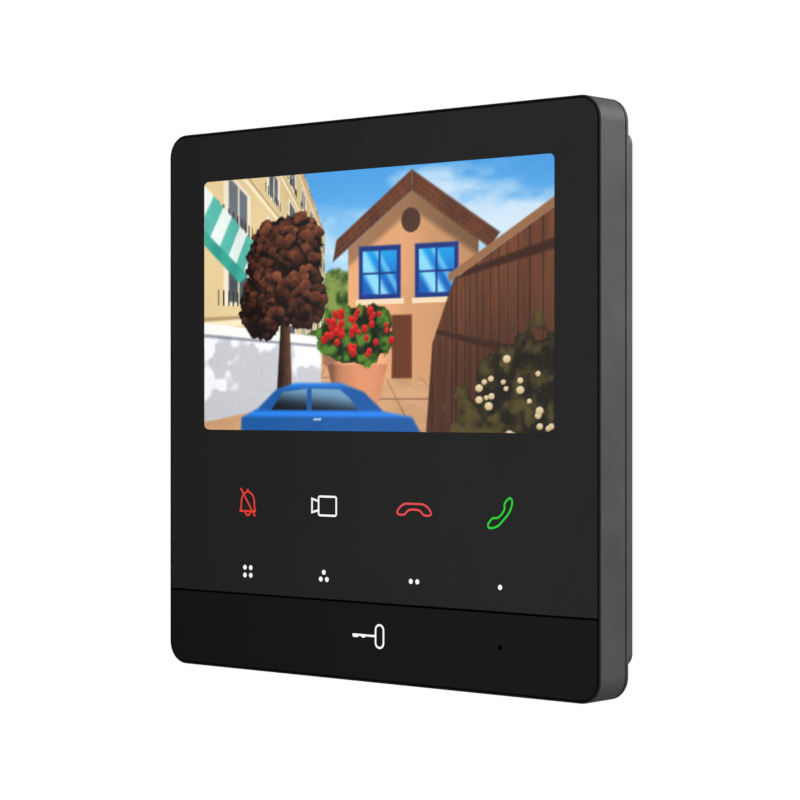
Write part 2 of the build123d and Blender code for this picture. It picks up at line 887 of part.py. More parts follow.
# ---------------------------------------------------------------- network jack
jack_side = jack_size[0] / 2
jack_rear = board_rear + jack_size[1]
jack_top = bay_top + jack_size[2]
socket_front = board_rear + socket_offset + latch_size[1]
socket_rear = socket_front + socket_size[1]
socket_z = (bay_top, bay_top + socket_size[2])
jack_core = (
    (jack_x - jack_side + jack_shield, jack_x + jack_side - jack_shield),
    (bay_top, jack_top - jack_shield),
    (board_rear, jack_rear - jack_shield),
)
with BuildPart() as network_jack:
    block(*jack_core)
    for width, depths in (
        (socket_size[0], (socket_front, socket_rear)),
        (latch_size[0], (socket_front - latch_size[1], socket_front)),
    ):
        block((jack_x - width / 2, jack_x + width / 2), socket_z, depths, mode=Mode.SUBTRACT)
save(network_jack.part, "network_jack")

with BuildPart() as network_jack_shield:
    block((jack_x - jack_side, jack_x + jack_side), (bay_top, jack_top), (board_rear, jack_rear))
    block(*jack_core, mode=Mode.SUBTRACT)
save(network_jack_shield.part, "network_jack_shield")

with BuildPart() as network_jack_contacts:
    contact_y = socket_rear - contact_radius - contact_inset - body_depth
    with BuildSketch(Plane.XY.offset(bay_top + contact_from_mouth)) as contact_section:
        with Locations((jack_x, contact_y)):
            with GridLocations(contact_pitch, 0, contact_count, 1):
                Circle(contact_radius)
    extrude(contact_section.sketch, amount=socket_size[2] - contact_from_mouth)
save(network_jack_contacts.part, "network_jack_contacts")

# ---------------------------------------------------------------- screw terminal
header_side = header_size[0] / 2
header_top = bay_top + header_size[2]
header_rear = board_rear + header_size[1]
cavity_side = header_side - header_wall
cavity_depths = (board_rear + header_wall, header_rear - header_wall)
pin_depth = sum(cavity_depths) / 2
pin_depths = (pin_depth - header_pin / 2, pin_depth + header_pin / 2)
pin_places = [
    terminal_x + terminal_pitch * (i - (terminal_ways - 1) / 2) for i in range(terminal_ways)
]
header_back = header_top - header_back_wall
with BuildPart() as terminal_header:
    header_x = (terminal_x - header_side, terminal_x + header_side)
    block(header_x, (bay_top, header_top), (board_rear, header_rear))
    block(
        (terminal_x - cavity_side, terminal_x + cavity_side),
        (bay_top, header_back),
        cavity_depths,
        mode=Mode.SUBTRACT,
    )
    for x in pin_places:
        around(
            x,
            header_top,
            header_pin,
            2 * header_back_wall,
            pin_depths,
            mode=Mode.SUBTRACT,
        )
save(terminal_header.part, "terminal_header")

with BuildPart() as terminal_pins:
    for x in pin_places:
        pin_x = (x - header_pin / 2, x + header_pin / 2)
        pin_top = header_top + header_pin
        block(pin_x, (pin_top - pin_length + header_pin, pin_top), pin_depths)
        block(pin_x, (header_top, pin_top), (board_rear, pin_depth))
save(terminal_pins.part, "terminal_pins")

plug_top = header_back - plug_end_gap
block_top = bay_top - plug_block_gap
block_bottom = block_top - plug_length
nose_depths = (cavity_depths[0] + plug_fit, cavity_depths[1] - plug_fit)
block_depths = (nose_depths[0] - plug_lip, nose_depths[0] - plug_lip + plug_height)
wire_depths = (nose_depths[0] + wire_hole_wall, nose_depths[0] + wire_hole_wall + wire_hole[1])
screw_head_depth = block_depths[1] - terminal_screw_sunk
screw_depth = screw_head_depth - terminal_screw_length
plug_side = header_side - plug_side_step
with BuildPart() as terminal_plug:
    nose_side = cavity_side - plug_fit
    block((terminal_x - nose_side, terminal_x + nose_side), (block_top, plug_top), nose_depths)
    plug_x = (terminal_x - plug_side, terminal_x + plug_side)
    block(plug_x, (block_bottom, block_top), block_depths, plug_corner)
    half_hole = header_pin / 2 + pin_clearance
    pin_hole_z = (bay_top + pin_hole_stop, plug_top)
    wire_hole_z = (block_bottom, block_bottom + wire_hole[2])
    for x in pin_places:
        hole_x = (x - half_hole, x + half_hole)
        block(hole_x, pin_hole_z, (pin_depth - half_hole, pin_depth + half_hole), mode=Mode.SUBTRACT)
        wire_x = (x - wire_hole[0] / 2, x + wire_hole[0] / 2)
        block(wire_x, wire_hole_z, wire_depths, mode=Mode.SUBTRACT)
    screw_places = [(x, block_bottom + terminal_screw_rise) for x in pin_places]
    screw_bore = (screw_depth, block_depths[1])
    studs(screw_places, terminal_screw_radius + terminal_screw_gap, screw_bore, Mode.SUBTRACT)
save(terminal_plug.part, "terminal_plug")

with BuildPart() as terminal_screws:
    studs(screw_places, terminal_screw_radius, (screw_depth, screw_head_depth))
    with BuildSketch(at_depth(screw_head_depth)) as drive:
        with Locations(*screw_places):
            Rectangle(2 * terminal_screw_radius, terminal_screw_drive[0])
    extrude(drive.sketch, amount=terminal_screw_drive[1], mode=Mode.SUBTRACT)
save(terminal_screws.part, "terminal_screws")

clamp_depths = (wire_depths[0] + clamp_gap, wire_depths[0] + clamp_gap + clamp_thickness)
with BuildPart() as terminal_clamps:
    for x in pin_places:
        clamp_half = wire_hole[0] / 2 - clamp_gap
        block((x - clamp_half, x + clamp_half), (block_bottom + clamp_rise, wire_hole_z[1]), clamp_depths)
save(terminal_clamps.part, "terminal_clamps")

# ---------------------------------------------------------------- speaker
cone_front = speaker_rear - speaker_lip
cone_rear = cone_front + cone_thickness
bowl_front = cone_front - speaker_bowl


def speaker_plate(inset, depths, corner, mode=Mode.ADD):
    """A plate with the speaker's outline, moved in by an inset."""
    width, height = speaker_size[0] - 2 * inset, speaker_size[1] - 2 * inset
    around(speaker_x, speaker_z, width, height, depths, corner, mode)


def magnet_plate(depths, mode=Mode.ADD):
    """A plate with the magnet's outline."""
    around(speaker_x, speaker_z, *magnet_size, depths, magnet_corner, mode)


inner_corner = speaker_corner - speaker_rim
with BuildPart() as speaker_frame:
    speaker_plate(0, (speaker_front, speaker_rear), speaker_corner)
    speaker_plate(speaker_rim, (cone_front, speaker_rear), inner_corner, Mode.SUBTRACT)
    speaker_plate(2 * speaker_rim, (bowl_front, cone_front), magnet_corner, Mode.SUBTRACT)
    magnet_plate((speaker_front, bowl_front), Mode.SUBTRACT)
save(speaker_frame.part, "speaker_frame")

with BuildPart() as speaker_magnet:
    magnet_plate((speaker_front, bowl_front + magnet_rise))
save(speaker_magnet.part, "speaker_magnet")

with BuildPart() as speaker_cone:
    speaker_plate(speaker_rim + cone_gap, (cone_front, cone_rear), inner_corner)
    with BuildSketch(at_depth(cone_rear)) as dome:
        with Locations((speaker_x, speaker_z)):
            RectangleRounded(*dome_size[:2], dome_corner)
    extrude(dome.sketch, amount=-dome_size[2], taper=dome_slope)
save(speaker_cone.part, "speaker_cone")

with BuildPart() as speaker_gasket:
    gasket_depths = (speaker_rear, cover_inside)
    speaker_plate(0, gasket_depths, speaker_corner)
    speaker_plate(speaker_rim, gasket_depths, inner_corner, Mode.SUBTRACT)
save(speaker_gasket.part, "speaker_gasket")

# ---------------------------------------------------------------- rear cover
tongue_inset = frame_wall + tongue_clearance
head_depth = rim_rear - housing_head[1]
head_rear = rim_rear - housing_screw_sunk
with BuildPart() as rear_cover:
    face_outline(tongue_inset, (cover_inside - tongue_length, rim_rear))
    face_outline(
        tongue_inset + tongue_wall,
        (cover_inside - tongue_length, cover_inside),
        Mode.SUBTRACT,
    )
    face_outline(groove_depth, (frame_rear, rim_rear))
    face_outline(0, (rim_front, rim_rear))
    around(0, 0, face_width, pad_height, (rim_rear, body_depth), pad_corner)
    fillet(rear_cover.faces().sort_by(Axis.Y)[-1].edges(), pad_edge)
    # recess that takes the wall plate, with room under it to lift the monitor off
    block(
        (-plate_side - recess_side_gap, plate_side + recess_side_gap),
        (plate_bottom - lift_travel - recess_bottom_gap, plate_top + recess_top_gap),
        (recess_depth, body_depth),
        recess_corner,
        Mode.SUBTRACT,
    )
    # rear box
    around(0, (bay_top + box_top) / 2, box_width, box_height, (cover_inside, box_rear), box_corner)
    fillet(rear_cover.faces().sort_by(Axis.Y)[-1].edges(), pad_edge)
    # walls of the cable bay
    block(
        (-box_side - bay_wall, box_side + bay_wall),
        (bay_bottom - bay_wall, bay_top + bay_wall),
        (bay_floor_front, cover_inside),
        bay_corner,
    )
    block((-box_side, box_side), (bay_bottom, bay_top), (bay_floor_rear, box_rear), mode=Mode.SUBTRACT)
    # inside of the rear box
    block(
        (cover_wall - box_side, box_side - cover_wall),
        (bay_top + bay_wall, box_top - cover_wall),
        (bay_floor_front, box_rear - cover_wall),
        mode=Mode.SUBTRACT,
    )
    # mouths of the two sockets
    for x, width, rear in ((jack_x, jack_size[0], jack_rear), (terminal_x, header_size[0], header_rear)):
        mouth = (board_rear - mouth_depth_gap, rear + mouth_depth_gap)
        around(x, bay_top, width + 2 * mouth_gap, 2 * bay_wall, mouth, mode=Mode.SUBTRACT)
    # slots for the wall plate's hooks
    for level in hook_levels:
        for hand in (-1, 1):
            half_slot = hook_width / 2 + hook_slot_gap
            slot_z = (level - lift_travel - hook_slot_gap, level + plate_thickness + hook_root_gap)
            slot_x = (hand * hook_x - half_slot, hand * hook_x + half_slot)
            block(slot_x, slot_z, (cover_inside, recess_depth), mode=Mode.SUBTRACT)
    # posts for the main board
    studs(screw_posts, board_post_radius, (board_rear, cover_inside))
    post_hole = (board_rear, cover_inside + board_screw_bite + thread_end_gap / 2)
    studs(screw_posts, board_screw_radius + thread_gap, post_hole, Mode.SUBTRACT)
    # corner bosses and counterbores for the housing screws, clear of the frame's bosses
    studs(
        housing_screw_places,
        housing_boss_radius + tongue_clearance,
        (cover_inside - tongue_length, boss_rear + tongue_clearance),
        Mode.SUBTRACT,
    )
    studs(housing_screw_places, housing_boss_radius, (boss_rear + tongue_clearance, cover_inside))
    screw_hole = housing_screw_radius + housing_hole_gap
    studs(housing_screw_places, screw_hole, (boss_rear, rim_rear), Mode.SUBTRACT)
    head_hole = housing_head[0] + housing_head_gap
    studs(housing_screw_places, head_hole, (head_depth, rim_rear), Mode.SUBTRACT)
    # sound slots in the ledge under the pad
    with BuildSketch(at_depth(cover_inside)) as sound_slots:
        with Locations((speaker_x, -pad_height / 2 - speaker_slot_below_pad)):
            slot_steps = (speaker_slot[0] + speaker_slot_web, 2 * speaker_slot[1])
            with GridLocations(*slot_steps, *speaker_slot_grid):
                SlotOverall(*speaker_slot)
    extrude(sound_slots.sketch, amount=-cover_wall, mode=Mode.SUBTRACT)
    # vents in the back of the rear box
    with BuildSketch(at_depth(box_rear - cover_wall)) as vents:
        with Locations((0, (bay_top + box_top) / 2 + vent_rise)):
            with GridLocations(*vent_grid):
                SlotOverall(*vent_slot)
    extrude(vents.sketch, amount=-cover_wall, mode=Mode.SUBTRACT)
save(rear_cover.part, "rear_cover")

with BuildPart() as housing_screws:
    studs(housing_screw_places, housing_head[0], (head_depth, head_rear))
    studs(housing_screw_places, housing_core_radius, (boss_rear - housing_screw_bite, head_depth))
    cross_drive(housing_screw_places, head_rear, housing_drive, 1)
save(housing_screws.part, "housing_screws")

# ---------------------------------------------------------------- wall plate
plate_front = body_depth - plate_thickness
with BuildPart() as wall_plate:
    sheet = (plate_front, body_depth)
    block((-plate_side, plate_side), (plate_bottom, plate_top), sheet, plate_corner)
    window_x = (-box_side - window_side_gap, box_side + window_side_gap)
    window_z = (bay_bottom, box_top + window_top_gap)
    block(window_x, window_z, sheet, plate_window_corner, Mode.SUBTRACT)
    with BuildSketch(at_depth(plate_front)) as wall_slots:
        with GridLocations(wall_hole_spacing, 0, 2, 1):
            SlotOverall(wall_slot_length, 2 * wall_slot_radius)
        with GridLocations(*corner_hole_spacing, 2, 2):
            Circle(corner_hole_radius)
    extrude(wall_slots.sketch, amount=-plate_thickness, mode=Mode.SUBTRACT)
    for level in hook_levels:
        for hand in (-1, 1):
            tab = (hand * hook_x - hook_width / 2, hand * hook_x + hook_width / 2)
            relief = (tab[0] - hook_relief[0], tab[1] + hook_relief[0])
            relief_z = (level + plate_thickness, level + hook_relief[1])
            block(relief, relief_z, sheet, mode=Mode.SUBTRACT)
            block(tab, (level, level + plate_thickness), (finger_front, plate_front))
            block(tab, (level, level + hook_height), (finger_front, finger_rear))
save(wall_plate.part, "wall_plate")

print("bar swing (degrees)", round(degrees(switch_travel / switch_below_pivot), 4))
print("pivot", round(pivot_depth - body_depth, 4), round(pivot_z, 4))
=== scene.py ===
"""The looks of a wall-mounted video intercom monitor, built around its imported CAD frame.

The face looks along -Y, +X is to the right seen from the front, and +Z is up. Lengths are metres.
"""

from math import cos, pi, radians, sin

import bpy
import numpy as np
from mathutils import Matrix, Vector


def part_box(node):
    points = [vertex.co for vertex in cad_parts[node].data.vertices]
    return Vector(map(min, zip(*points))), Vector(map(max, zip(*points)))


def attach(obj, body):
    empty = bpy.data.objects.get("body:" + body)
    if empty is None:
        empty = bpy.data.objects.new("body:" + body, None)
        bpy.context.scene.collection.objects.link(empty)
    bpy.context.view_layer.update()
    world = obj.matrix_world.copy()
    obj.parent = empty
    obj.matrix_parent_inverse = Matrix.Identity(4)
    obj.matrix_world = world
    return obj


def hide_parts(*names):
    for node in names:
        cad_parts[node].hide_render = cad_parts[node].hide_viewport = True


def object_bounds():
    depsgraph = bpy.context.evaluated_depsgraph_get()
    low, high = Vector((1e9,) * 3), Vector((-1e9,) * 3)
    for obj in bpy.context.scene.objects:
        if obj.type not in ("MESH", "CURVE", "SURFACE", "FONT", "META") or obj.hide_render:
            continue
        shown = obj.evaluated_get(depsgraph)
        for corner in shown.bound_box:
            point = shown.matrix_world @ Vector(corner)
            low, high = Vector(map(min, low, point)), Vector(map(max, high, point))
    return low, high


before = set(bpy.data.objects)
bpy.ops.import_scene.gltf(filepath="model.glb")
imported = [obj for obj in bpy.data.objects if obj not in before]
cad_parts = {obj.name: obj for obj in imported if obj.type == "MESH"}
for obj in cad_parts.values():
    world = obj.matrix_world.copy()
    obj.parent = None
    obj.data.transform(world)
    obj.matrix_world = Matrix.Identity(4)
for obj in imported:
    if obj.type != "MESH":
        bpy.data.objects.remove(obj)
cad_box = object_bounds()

MM = 0.001
MICRON = MM / 1000
WINDOW_LOW, WINDOW_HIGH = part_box("display_window")
LIGHTS_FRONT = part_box("key_lights")[0].y
CONTACTS_LOW, CONTACTS_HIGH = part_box("touch_contacts")
BAR_LOW, BAR_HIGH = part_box("unlock_bar")
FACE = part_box("front_panel")[0].y

# View
AZIMUTH = 40.44
DISTANCE = 0.48708
AIM = (0.00498, -0.00658, -0.00014)
LENS = 106.8

# Colours, linear
HOUSING_GREY = (0.046, 0.046, 0.047)
REAR_GREY = (0.040, 0.040, 0.041)
# The near black of the frame's lip is painted shade, laid where the surface faces the front.
LIP_SHADE_BLACK = (0.017, 0.017, 0.0175)
PANEL_BLACK = (0.010, 0.010, 0.0105)
BAR_BLACK = (0.0045, 0.0045, 0.0062)
PANEL_SPECULAR = 0.4
BAR_SPECULAR = 0.2
BELL_RED = (0.75, 0.045, 0.032)
HANG_UP_RED = (0.75, 0.070, 0.070)
ANSWER_GREEN = (0.022, 0.64, 0.032)
SYMBOL_WHITE = (0.96, 0.96, 0.96)
DUST_TAN = (0.42, 0.40, 0.37)
SCREEN_GLOW = 1.0
ICON_GLOW = 1.0

# The lens and the flange that holds it behind the panel
FLANGE = 1.5 * MM
FLANGE_THICKNESS = 0.6 * MM
WINDOW_CORNER = 1.2 * MM
LENS_GRID = (361, 249)

# Print, in millimetres but for its rise
PRINT_RISE = 0.01 * MM
PRINT_SINK = 0.03 * MM
STROKE = 0.43
DOT = 1.05
KEY_CELL = 12.4
INNER_COLUMN = 12.3
DOTS_BELOW = 14.6
KEY_ABOVE = 1.2

# Stage
FLOOR_DROP = 0.50
FLOOR_RADIUS = 0.75
SURROUND = 0.07
SOFTBOXES = (
    ("right_softbox", (0.90, 0.38, 0.58), (0.6, 0.7), 25.0),
    ("top_softbox", (0.10, -0.10, 0.80), (0.8, 0.6), 1.0),
    ("front_softbox", (-0.46, -0.83, 0.05), (0.50, 0.8), 0.98),
)


# ---------------------------------------------------------------- node trees
class Tree:
    """Short calls for filling a shader node tree."""

    def __init__(self, tree):
        self.tree = tree

    def put(self, socket, value):
        """Links a socket to another, or sets its own value."""
        if isinstance(value, bpy.types.NodeSocket):
            self.tree.links.new(value, socket)
        elif isinstance(value, tuple) and len(value) == 3 and len(socket.default_value) == 4:
            socket.default_value = (*value, 1.0)
        else:
            socket.default_value = value

    def add(self, kind, sockets=None, **settings):
        """A new node with its settings and its input sockets filled in."""
        node = self.tree.nodes.new("ShaderNode" + kind)
        for name, value in settings.items():
            setattr(node, name, value)
        for name, value in (sockets or {}).items():
            self.put(node.inputs[name], value)
        return node

    def use(self, made, **values):
        """A shader group placed in this tree with its own values, named with _ for a space."""
        node = self.tree.nodes.new("ShaderNodeGroup")
        node.node_tree = made
        for name, value in values.items():
            self.put(node.inputs[name.replace("_", " ")], value)
        return node.outputs

    def math(self, operation, *values, clamp=False):
        """The result of a Math node."""
        node = self.add("Math", dict(enumerate(values)), operation=operation, use_clamp=clamp)
        return node.outputs[0]

    def span(self, value, low, high, to_low=0.0, to_high=1.0):
        """A value carried from one range to another, with a soft start and end."""
        sockets = dict(enumerate((value, low, high, to_low, to_high)))
        return self.add("MapRange", sockets, interpolation_type="SMOOTHSTEP").outputs[0]

    def mix(self, factor, first, second):
        """Two colours mixed by a factor."""
        return self.add("Mix", {0: factor, 6: first, 7: second}, data_type="RGBA").outputs[2]

    def place(self, stretch=(1.0, 1.0, 1.0), turn=(0.0, 0.0, 0.0), shift=(0.0, 0.0, 0.0)):
        """Object coordinates, moved, turned and stretched."""
        where = self.add("TexCoord").outputs["Object"]
        return self.add("Mapping", {0: where, 1: shift, 2: turn, 3: stretch}).outputs[0]

    def per_metre(self, size):
        """A texture's scale from the size of its features, which may be a socket."""
        return self.math("DIVIDE", 1.0, size) if isinstance(size, bpy.types.NodeSocket) else 1.0 / size

    def noise(self, vector, size, detail=2.0, roughness=0.5, distortion=0.0):
        """Soft noise with features of a size in metres."""
        sockets = {"Vector": vector, "Scale": self.per_metre(size), "Detail": detail, "Roughness": roughness}
        return self.add("TexNoise", {**sockets, "Distortion": distortion}).outputs[0]

    def cells(self, vector, size, feature="F1", output="Distance", metric="EUCLIDEAN"):
        """Cells of a size in metres: the distance to a cell's centre or edge, or its random colour."""
        sockets = {"Vector": vector, "Scale": self.per_metre(size)}
        node = self.add("TexVoronoi", sockets, feature=feature)
        if feature != "DISTANCE_TO_EDGE":
            node.distance = metric
        return node.outputs[output]

    def normal(self):
        """The direction that the surface faces."""
        return self.add("NewGeometry").outputs["Normal"]

    def axis(self, name, vector=None):
        """One of a vector's X, Y and Z, by default of Object coordinates."""
        vector = self.place() if vector is None else vector
        return self.add("SeparateXYZ", {0: vector}).outputs[name]

    def bump(self, height, distance, normal=None):
        """The normal of a surface whose height changes by up to a distance."""
        sockets = {"Distance": distance, "Height": height}
        if normal is not None:
            sockets["Normal"] = normal
        return self.add("Bump", sockets).outputs[0]


def new_group(name, inputs, outputs):
    """A shader group with named sockets: the group, its tree, and the sockets inside it for both."""
    made = bpy.data.node_groups.new(name, "ShaderNodeTree")
    for label, value in inputs.items():
        kind = "NodeSocketVector" if isinstance(value, tuple) else "NodeSocketFloat"
        socket = made.interface.new_socket(label, in_out="INPUT", socket_type=kind)
        socket.default_value = value
    for label, kind in outputs.items():
        made.interface.new_socket(label, in_out="OUTPUT", socket_type="NodeSocket" + kind)
    given = made.nodes.new("NodeGroupInput").outputs
    result = made.nodes.new("NodeGroupOutput").inputs
    return made, Tree(made), given, result


def put_out_skin(tree, given, result, tone, reach, height):
    """A skin group's outputs: its tone, the roughness that swings with the tone, and its bumps."""
    tree.put(result["Tone"], tree.span(tone, 0.5 - reach, 0.5 + reach))
    swing = tree.math("MULTIPLY", tree.math("SUBTRACT", tone, 0.5), given["Spread"])
    tree.put(result["Roughness"], tree.math("ADD", given["Roughness"], swing, clamp=True))
    tree.put(result["Normal"], tree.bump(height, given["Depth"]))


def make_mould_skin():
    """The skin of a moulded part: fine spark-eroded pits, a slow drift of gloss, and rubbed patches."""
    inputs = {"Grain": 0.25 * MM, "Depth": 4 * MICRON, "Roughness": 0.5, "Spread": 0.15}
    outputs = {"Tone": "Float", "Roughness": "Float", "Normal": "Vector"}
    made, tree, given, result = new_group("mould_skin", inputs, outputs)
    where = tree.place()
    pits = tree.cells(where, given["Grain"])
    fine = tree.noise(where, given["Grain"], 3.0, 0.6)
    height = tree.math("ADD", tree.math("MULTIPLY", pits, 0.6), tree.math("MULTIPLY", fine, 0.6))
    drift = tree.noise(where, 26 * MM, 2.0)
    rubbed = tree.noise(where, 5 * MM, 5.0, 0.65, 0.4)
    tone = tree.math("ADD", tree.math("MULTIPLY", drift, 0.6), tree.math("MULTIPLY", rubbed, 0.4))
    put_out_skin(tree, given, result, tone, 0.20, height)
    return made


def make_edge_wear_and_highlight():
    """Rubbed edges and a painted edge highlight: where the surface turns within a short radius, broken up by
    noise. Finishes make these edges glossier, which is wear, and lighter in colour, which is partly a painted
    highlight.
    """
    inputs = {"Radius": 0.35 * MM, "Amount": 1.0}
    made, tree, given, result = new_group("edge_wear_and_highlight", inputs, {"Mask": "Float"})
    bevel = tree.add("Bevel", {"Radius": given["Radius"]}, samples=4)
    turn = tree.add("VectorMath", {0: bevel.outputs[0], 1: tree.normal()}, operation="DOT_PRODUCT")
    edge = tree.span(turn.outputs["Value"], 0.995, 0.86)
    rubbed = tree.span(tree.noise(tree.place(), 2.2 * MM, 4.0, 0.6), 0.30, 0.68, 0.25, 1.0)
    mask = tree.math("MULTIPLY", tree.math("MULTIPLY", edge, rubbed), given["Amount"], clamp=True)
    tree.put(result["Mask"], mask)
    return made


def make_settled_dust():
    """A thin film of dust on what faces up, and a few specks elsewhere."""
    made, tree, given, result = new_group("settled_dust", {"Amount": 0.1}, {"Mask": "Float"})
    upward = tree.span(tree.axis("Z", tree.normal()), 0.5, 1.0)
    film = tree.math("MULTIPLY", upward, tree.span(tree.noise(tree.place(), 3 * MM, 5.0), 0.3, 0.7))
    specks = tree.span(tree.cells(tree.place(), 1.7 * MM), 0.09, 0.04)
    sparse = tree.span(tree.noise(tree.place(), 6 * MM), 0.52, 0.64)
    both = tree.math("MAXIMUM", film, tree.math("MULTIPLY", tree.math("MULTIPLY", specks, sparse), 0.7))
    tree.put(result["Mask"], tree.math("MULTIPLY", both, given["Amount"], clamp=True))
    return made


def make_worked_metal():
    """Rolled, drawn or ground metal: fine lines along one way, and stains."""
    inputs = {"Line": 0.12 * MM, "Depth": 2 * MICRON, "Roughness": 0.35, "Spread": 0.2}
    inputs["Stretch"] = (1.0, 1.0, 1.0)
    outputs = {"Tone": "Float", "Roughness": "Float", "Normal": "Vector"}
    made, tree, given, result = new_group("worked_metal", inputs, outputs)
    where = tree.add("TexCoord").outputs["Object"]
    drawn = tree.add("Mapping", {0: where, 3: given["Stretch"]}).outputs[0]
    lines = tree.noise(drawn, given["Line"], 4.0, 0.65)
    stains = tree.noise(where, 7 * MM, 5.0, 0.62, 0.5)
    tone = tree.math("ADD", tree.math("MULTIPLY", lines, 0.45), tree.math("MULTIPLY", stains, 0.55))
    put_out_skin(tree, given, result, tone, 0.18, lines)
    return made


MOULD_SKIN = make_mould_skin()
EDGE_WEAR_AND_HIGHLIGHT = make_edge_wear_and_highlight()
SETTLED_DUST = make_settled_dust()
WORKED_METAL = make_worked_metal()


# ---------------------------------------------------------------- finishes
def finish(name, **constants):
    """A new material: itself, its tree and its shader's sockets, with the constants set on them."""
    material = bpy.data.materials.new(name)
    material.use_nodes = True
    material.node_tree.nodes.clear()
    tree = Tree(material.node_tree)
    sockets = {label.replace("_", " "): value for label, value in constants.items()}
    shader = tree.add("BsdfPrincipled", sockets)
    surface = tree.add("OutputMaterial").inputs["Surface"]
    tree.put(surface, shader.outputs[0])
    return material, tree, shader.inputs


def scaled(colour, factor):
    """A colour made lighter or darker."""
    return tuple(min(channel * factor, 1.0) for channel in colour)


def shades(tree, factor, colour, swing):
    """A colour that goes from darker to lighter with a factor."""
    return tree.mix(factor, scaled(colour, 1 - swing), scaled(colour, 1 + swing))


def plastic(name, colour, grain=0.25, depth=4.0, rough=0.5, spread=0.18, worn=0.5, dust=0.10, **constants):
    """Moulded plastic. grain is in millimetres and depth in microns. The edge amount sets how strongly the
    edges are rubbed and lightened, and the lighter colour is partly a painted highlight.
    """
    material, tree, shader = finish(name, **constants)
    skin = tree.use(MOULD_SKIN, Grain=grain * MM, Depth=depth * MICRON, Roughness=rough, Spread=spread)
    body = shades(tree, skin["Tone"], colour, 0.14)
    edge = tree.use(EDGE_WEAR_AND_HIGHLIGHT, Amount=worn)["Mask"]
    # Lighter colour on the edges: partly rubbed wear, partly a painted edge highlight.
    body = tree.mix(edge, body, scaled(tuple(c + 0.02 for c in colour), 1.5))
    film = tree.use(SETTLED_DUST, Amount=dust)["Mask"]
    tree.put(shader["Base Color"], tree.mix(film, body, DUST_TAN))
    gloss = tree.math("MULTIPLY_ADD", edge, -0.12, skin["Roughness"])
    tree.put(shader["Roughness"], tree.math("MULTIPLY_ADD", film, 0.3, gloss, clamp=True))
    tree.put(shader["Normal"], skin["Normal"])
    return material


def metal(name, colour, stretch, line, depth, rough, stain=0.8):
    """Worked metal. line is in millimetres and depth in microns."""
    material, tree, shader = finish(name, Metallic=1.0)
    lines = {"Stretch": stretch, "Line": line * MM, "Depth": depth * MICRON}
    face = tree.use(WORKED_METAL, **lines, Roughness=rough, Spread=0.25)
    body = tree.mix(face["Tone"], scaled(colour, stain), scaled(colour, 1.06))
    edge = tree.use(EDGE_WEAR_AND_HIGHLIGHT, Amount=0.6)["Mask"]
    # Lighter edges: partly worn bright metal, partly a painted edge highlight.
    tree.put(shader["Base Color"], tree.mix(edge, body, scaled(colour, 1.2)))
    tree.put(shader["Roughness"], tree.math("MULTIPLY_ADD", edge, -0.08, face["Roughness"], clamp=True))
    tree.put(shader["Normal"], face["Normal"])
    return material


def galvanised_sheet():
    """Zinc-coated sheet: flat crystals that differ in tone and gloss, rolling lines and pale stains."""
    material, tree, shader = finish("galvanised_sheet", Metallic=1.0)
    where = tree.place()
    drift = tree.add("TexNoise", {"Vector": where, "Scale": 350.0}).outputs["Color"]
    offset = tree.add("VectorMath", {0: drift, 1: (3 * MM, 3 * MM, 3 * MM)}, operation="MULTIPLY").outputs[0]
    warped = tree.add("VectorMath", {0: where, 1: offset}, operation="ADD").outputs[0]
    pick = tree.add("SeparateXYZ", {0: tree.cells(warped, 4.5 * MM, output="Color")}).outputs
    face = tree.use(WORKED_METAL, Stretch=(0.04, 1.0, 1.0), Line=0.2 * MM, Roughness=0.42, Spread=0.25)
    tone = tree.math("ADD", tree.math("MULTIPLY", pick["X"], 0.65), tree.math("MULTIPLY", face["Tone"], 0.35))
    body = tree.mix(tone, (0.46, 0.47, 0.49), (0.72, 0.73, 0.74))
    edge = tree.use(EDGE_WEAR_AND_HIGHLIGHT, Amount=0.8)["Mask"]
    # Lighter edges: partly worn bright metal, partly a painted edge highlight.
    tree.put(shader["Base Color"], tree.mix(edge, body, (0.80, 0.80, 0.80)))
    gloss = tree.math("SUBTRACT", face["Roughness"], 0.06)
    tree.put(shader["Roughness"], tree.math("MULTIPLY_ADD", pick["Y"], 0.16, gloss))
    tree.put(shader["Normal"], face["Normal"])
    return material


def framed_grey():
    """The frame's grey sides, with painted shade on the lip: the colour turns near black where the surface
    faces the front.
    """
    material, tree, shader = finish("housing_grey", Specular_IOR_Level=0.4)
    skin = tree.use(MOULD_SKIN, Grain=0.22 * MM, Depth=3.5 * MICRON, Roughness=0.46, Spread=0.18)
    # Painted shade: the colour darkens to near black where the surface turns to face the front.
    lip = tree.span(tree.axis("Y", tree.normal()), -0.04, -0.34)
    body = shades(tree, skin["Tone"], HOUSING_GREY, 0.14)
    edge = tree.use(EDGE_WEAR_AND_HIGHLIGHT, Amount=0.08)["Mask"]
    # Lighter edges: partly rubbed wear, partly a painted edge highlight.
    body = tree.mix(edge, body, scaled(HOUSING_GREY, 1.8))
    body = tree.mix(lip, body, LIP_SHADE_BLACK)
    film = tree.use(SETTLED_DUST, Amount=0.10)["Mask"]
    tree.put(shader["Base Color"], tree.mix(film, body, DUST_TAN))
    tree.put(shader["Roughness"], tree.math("MULTIPLY_ADD", lip, 0.30, skin["Roughness"], clamp=True))
    tree.put(shader["Normal"], skin["Normal"])
    return material


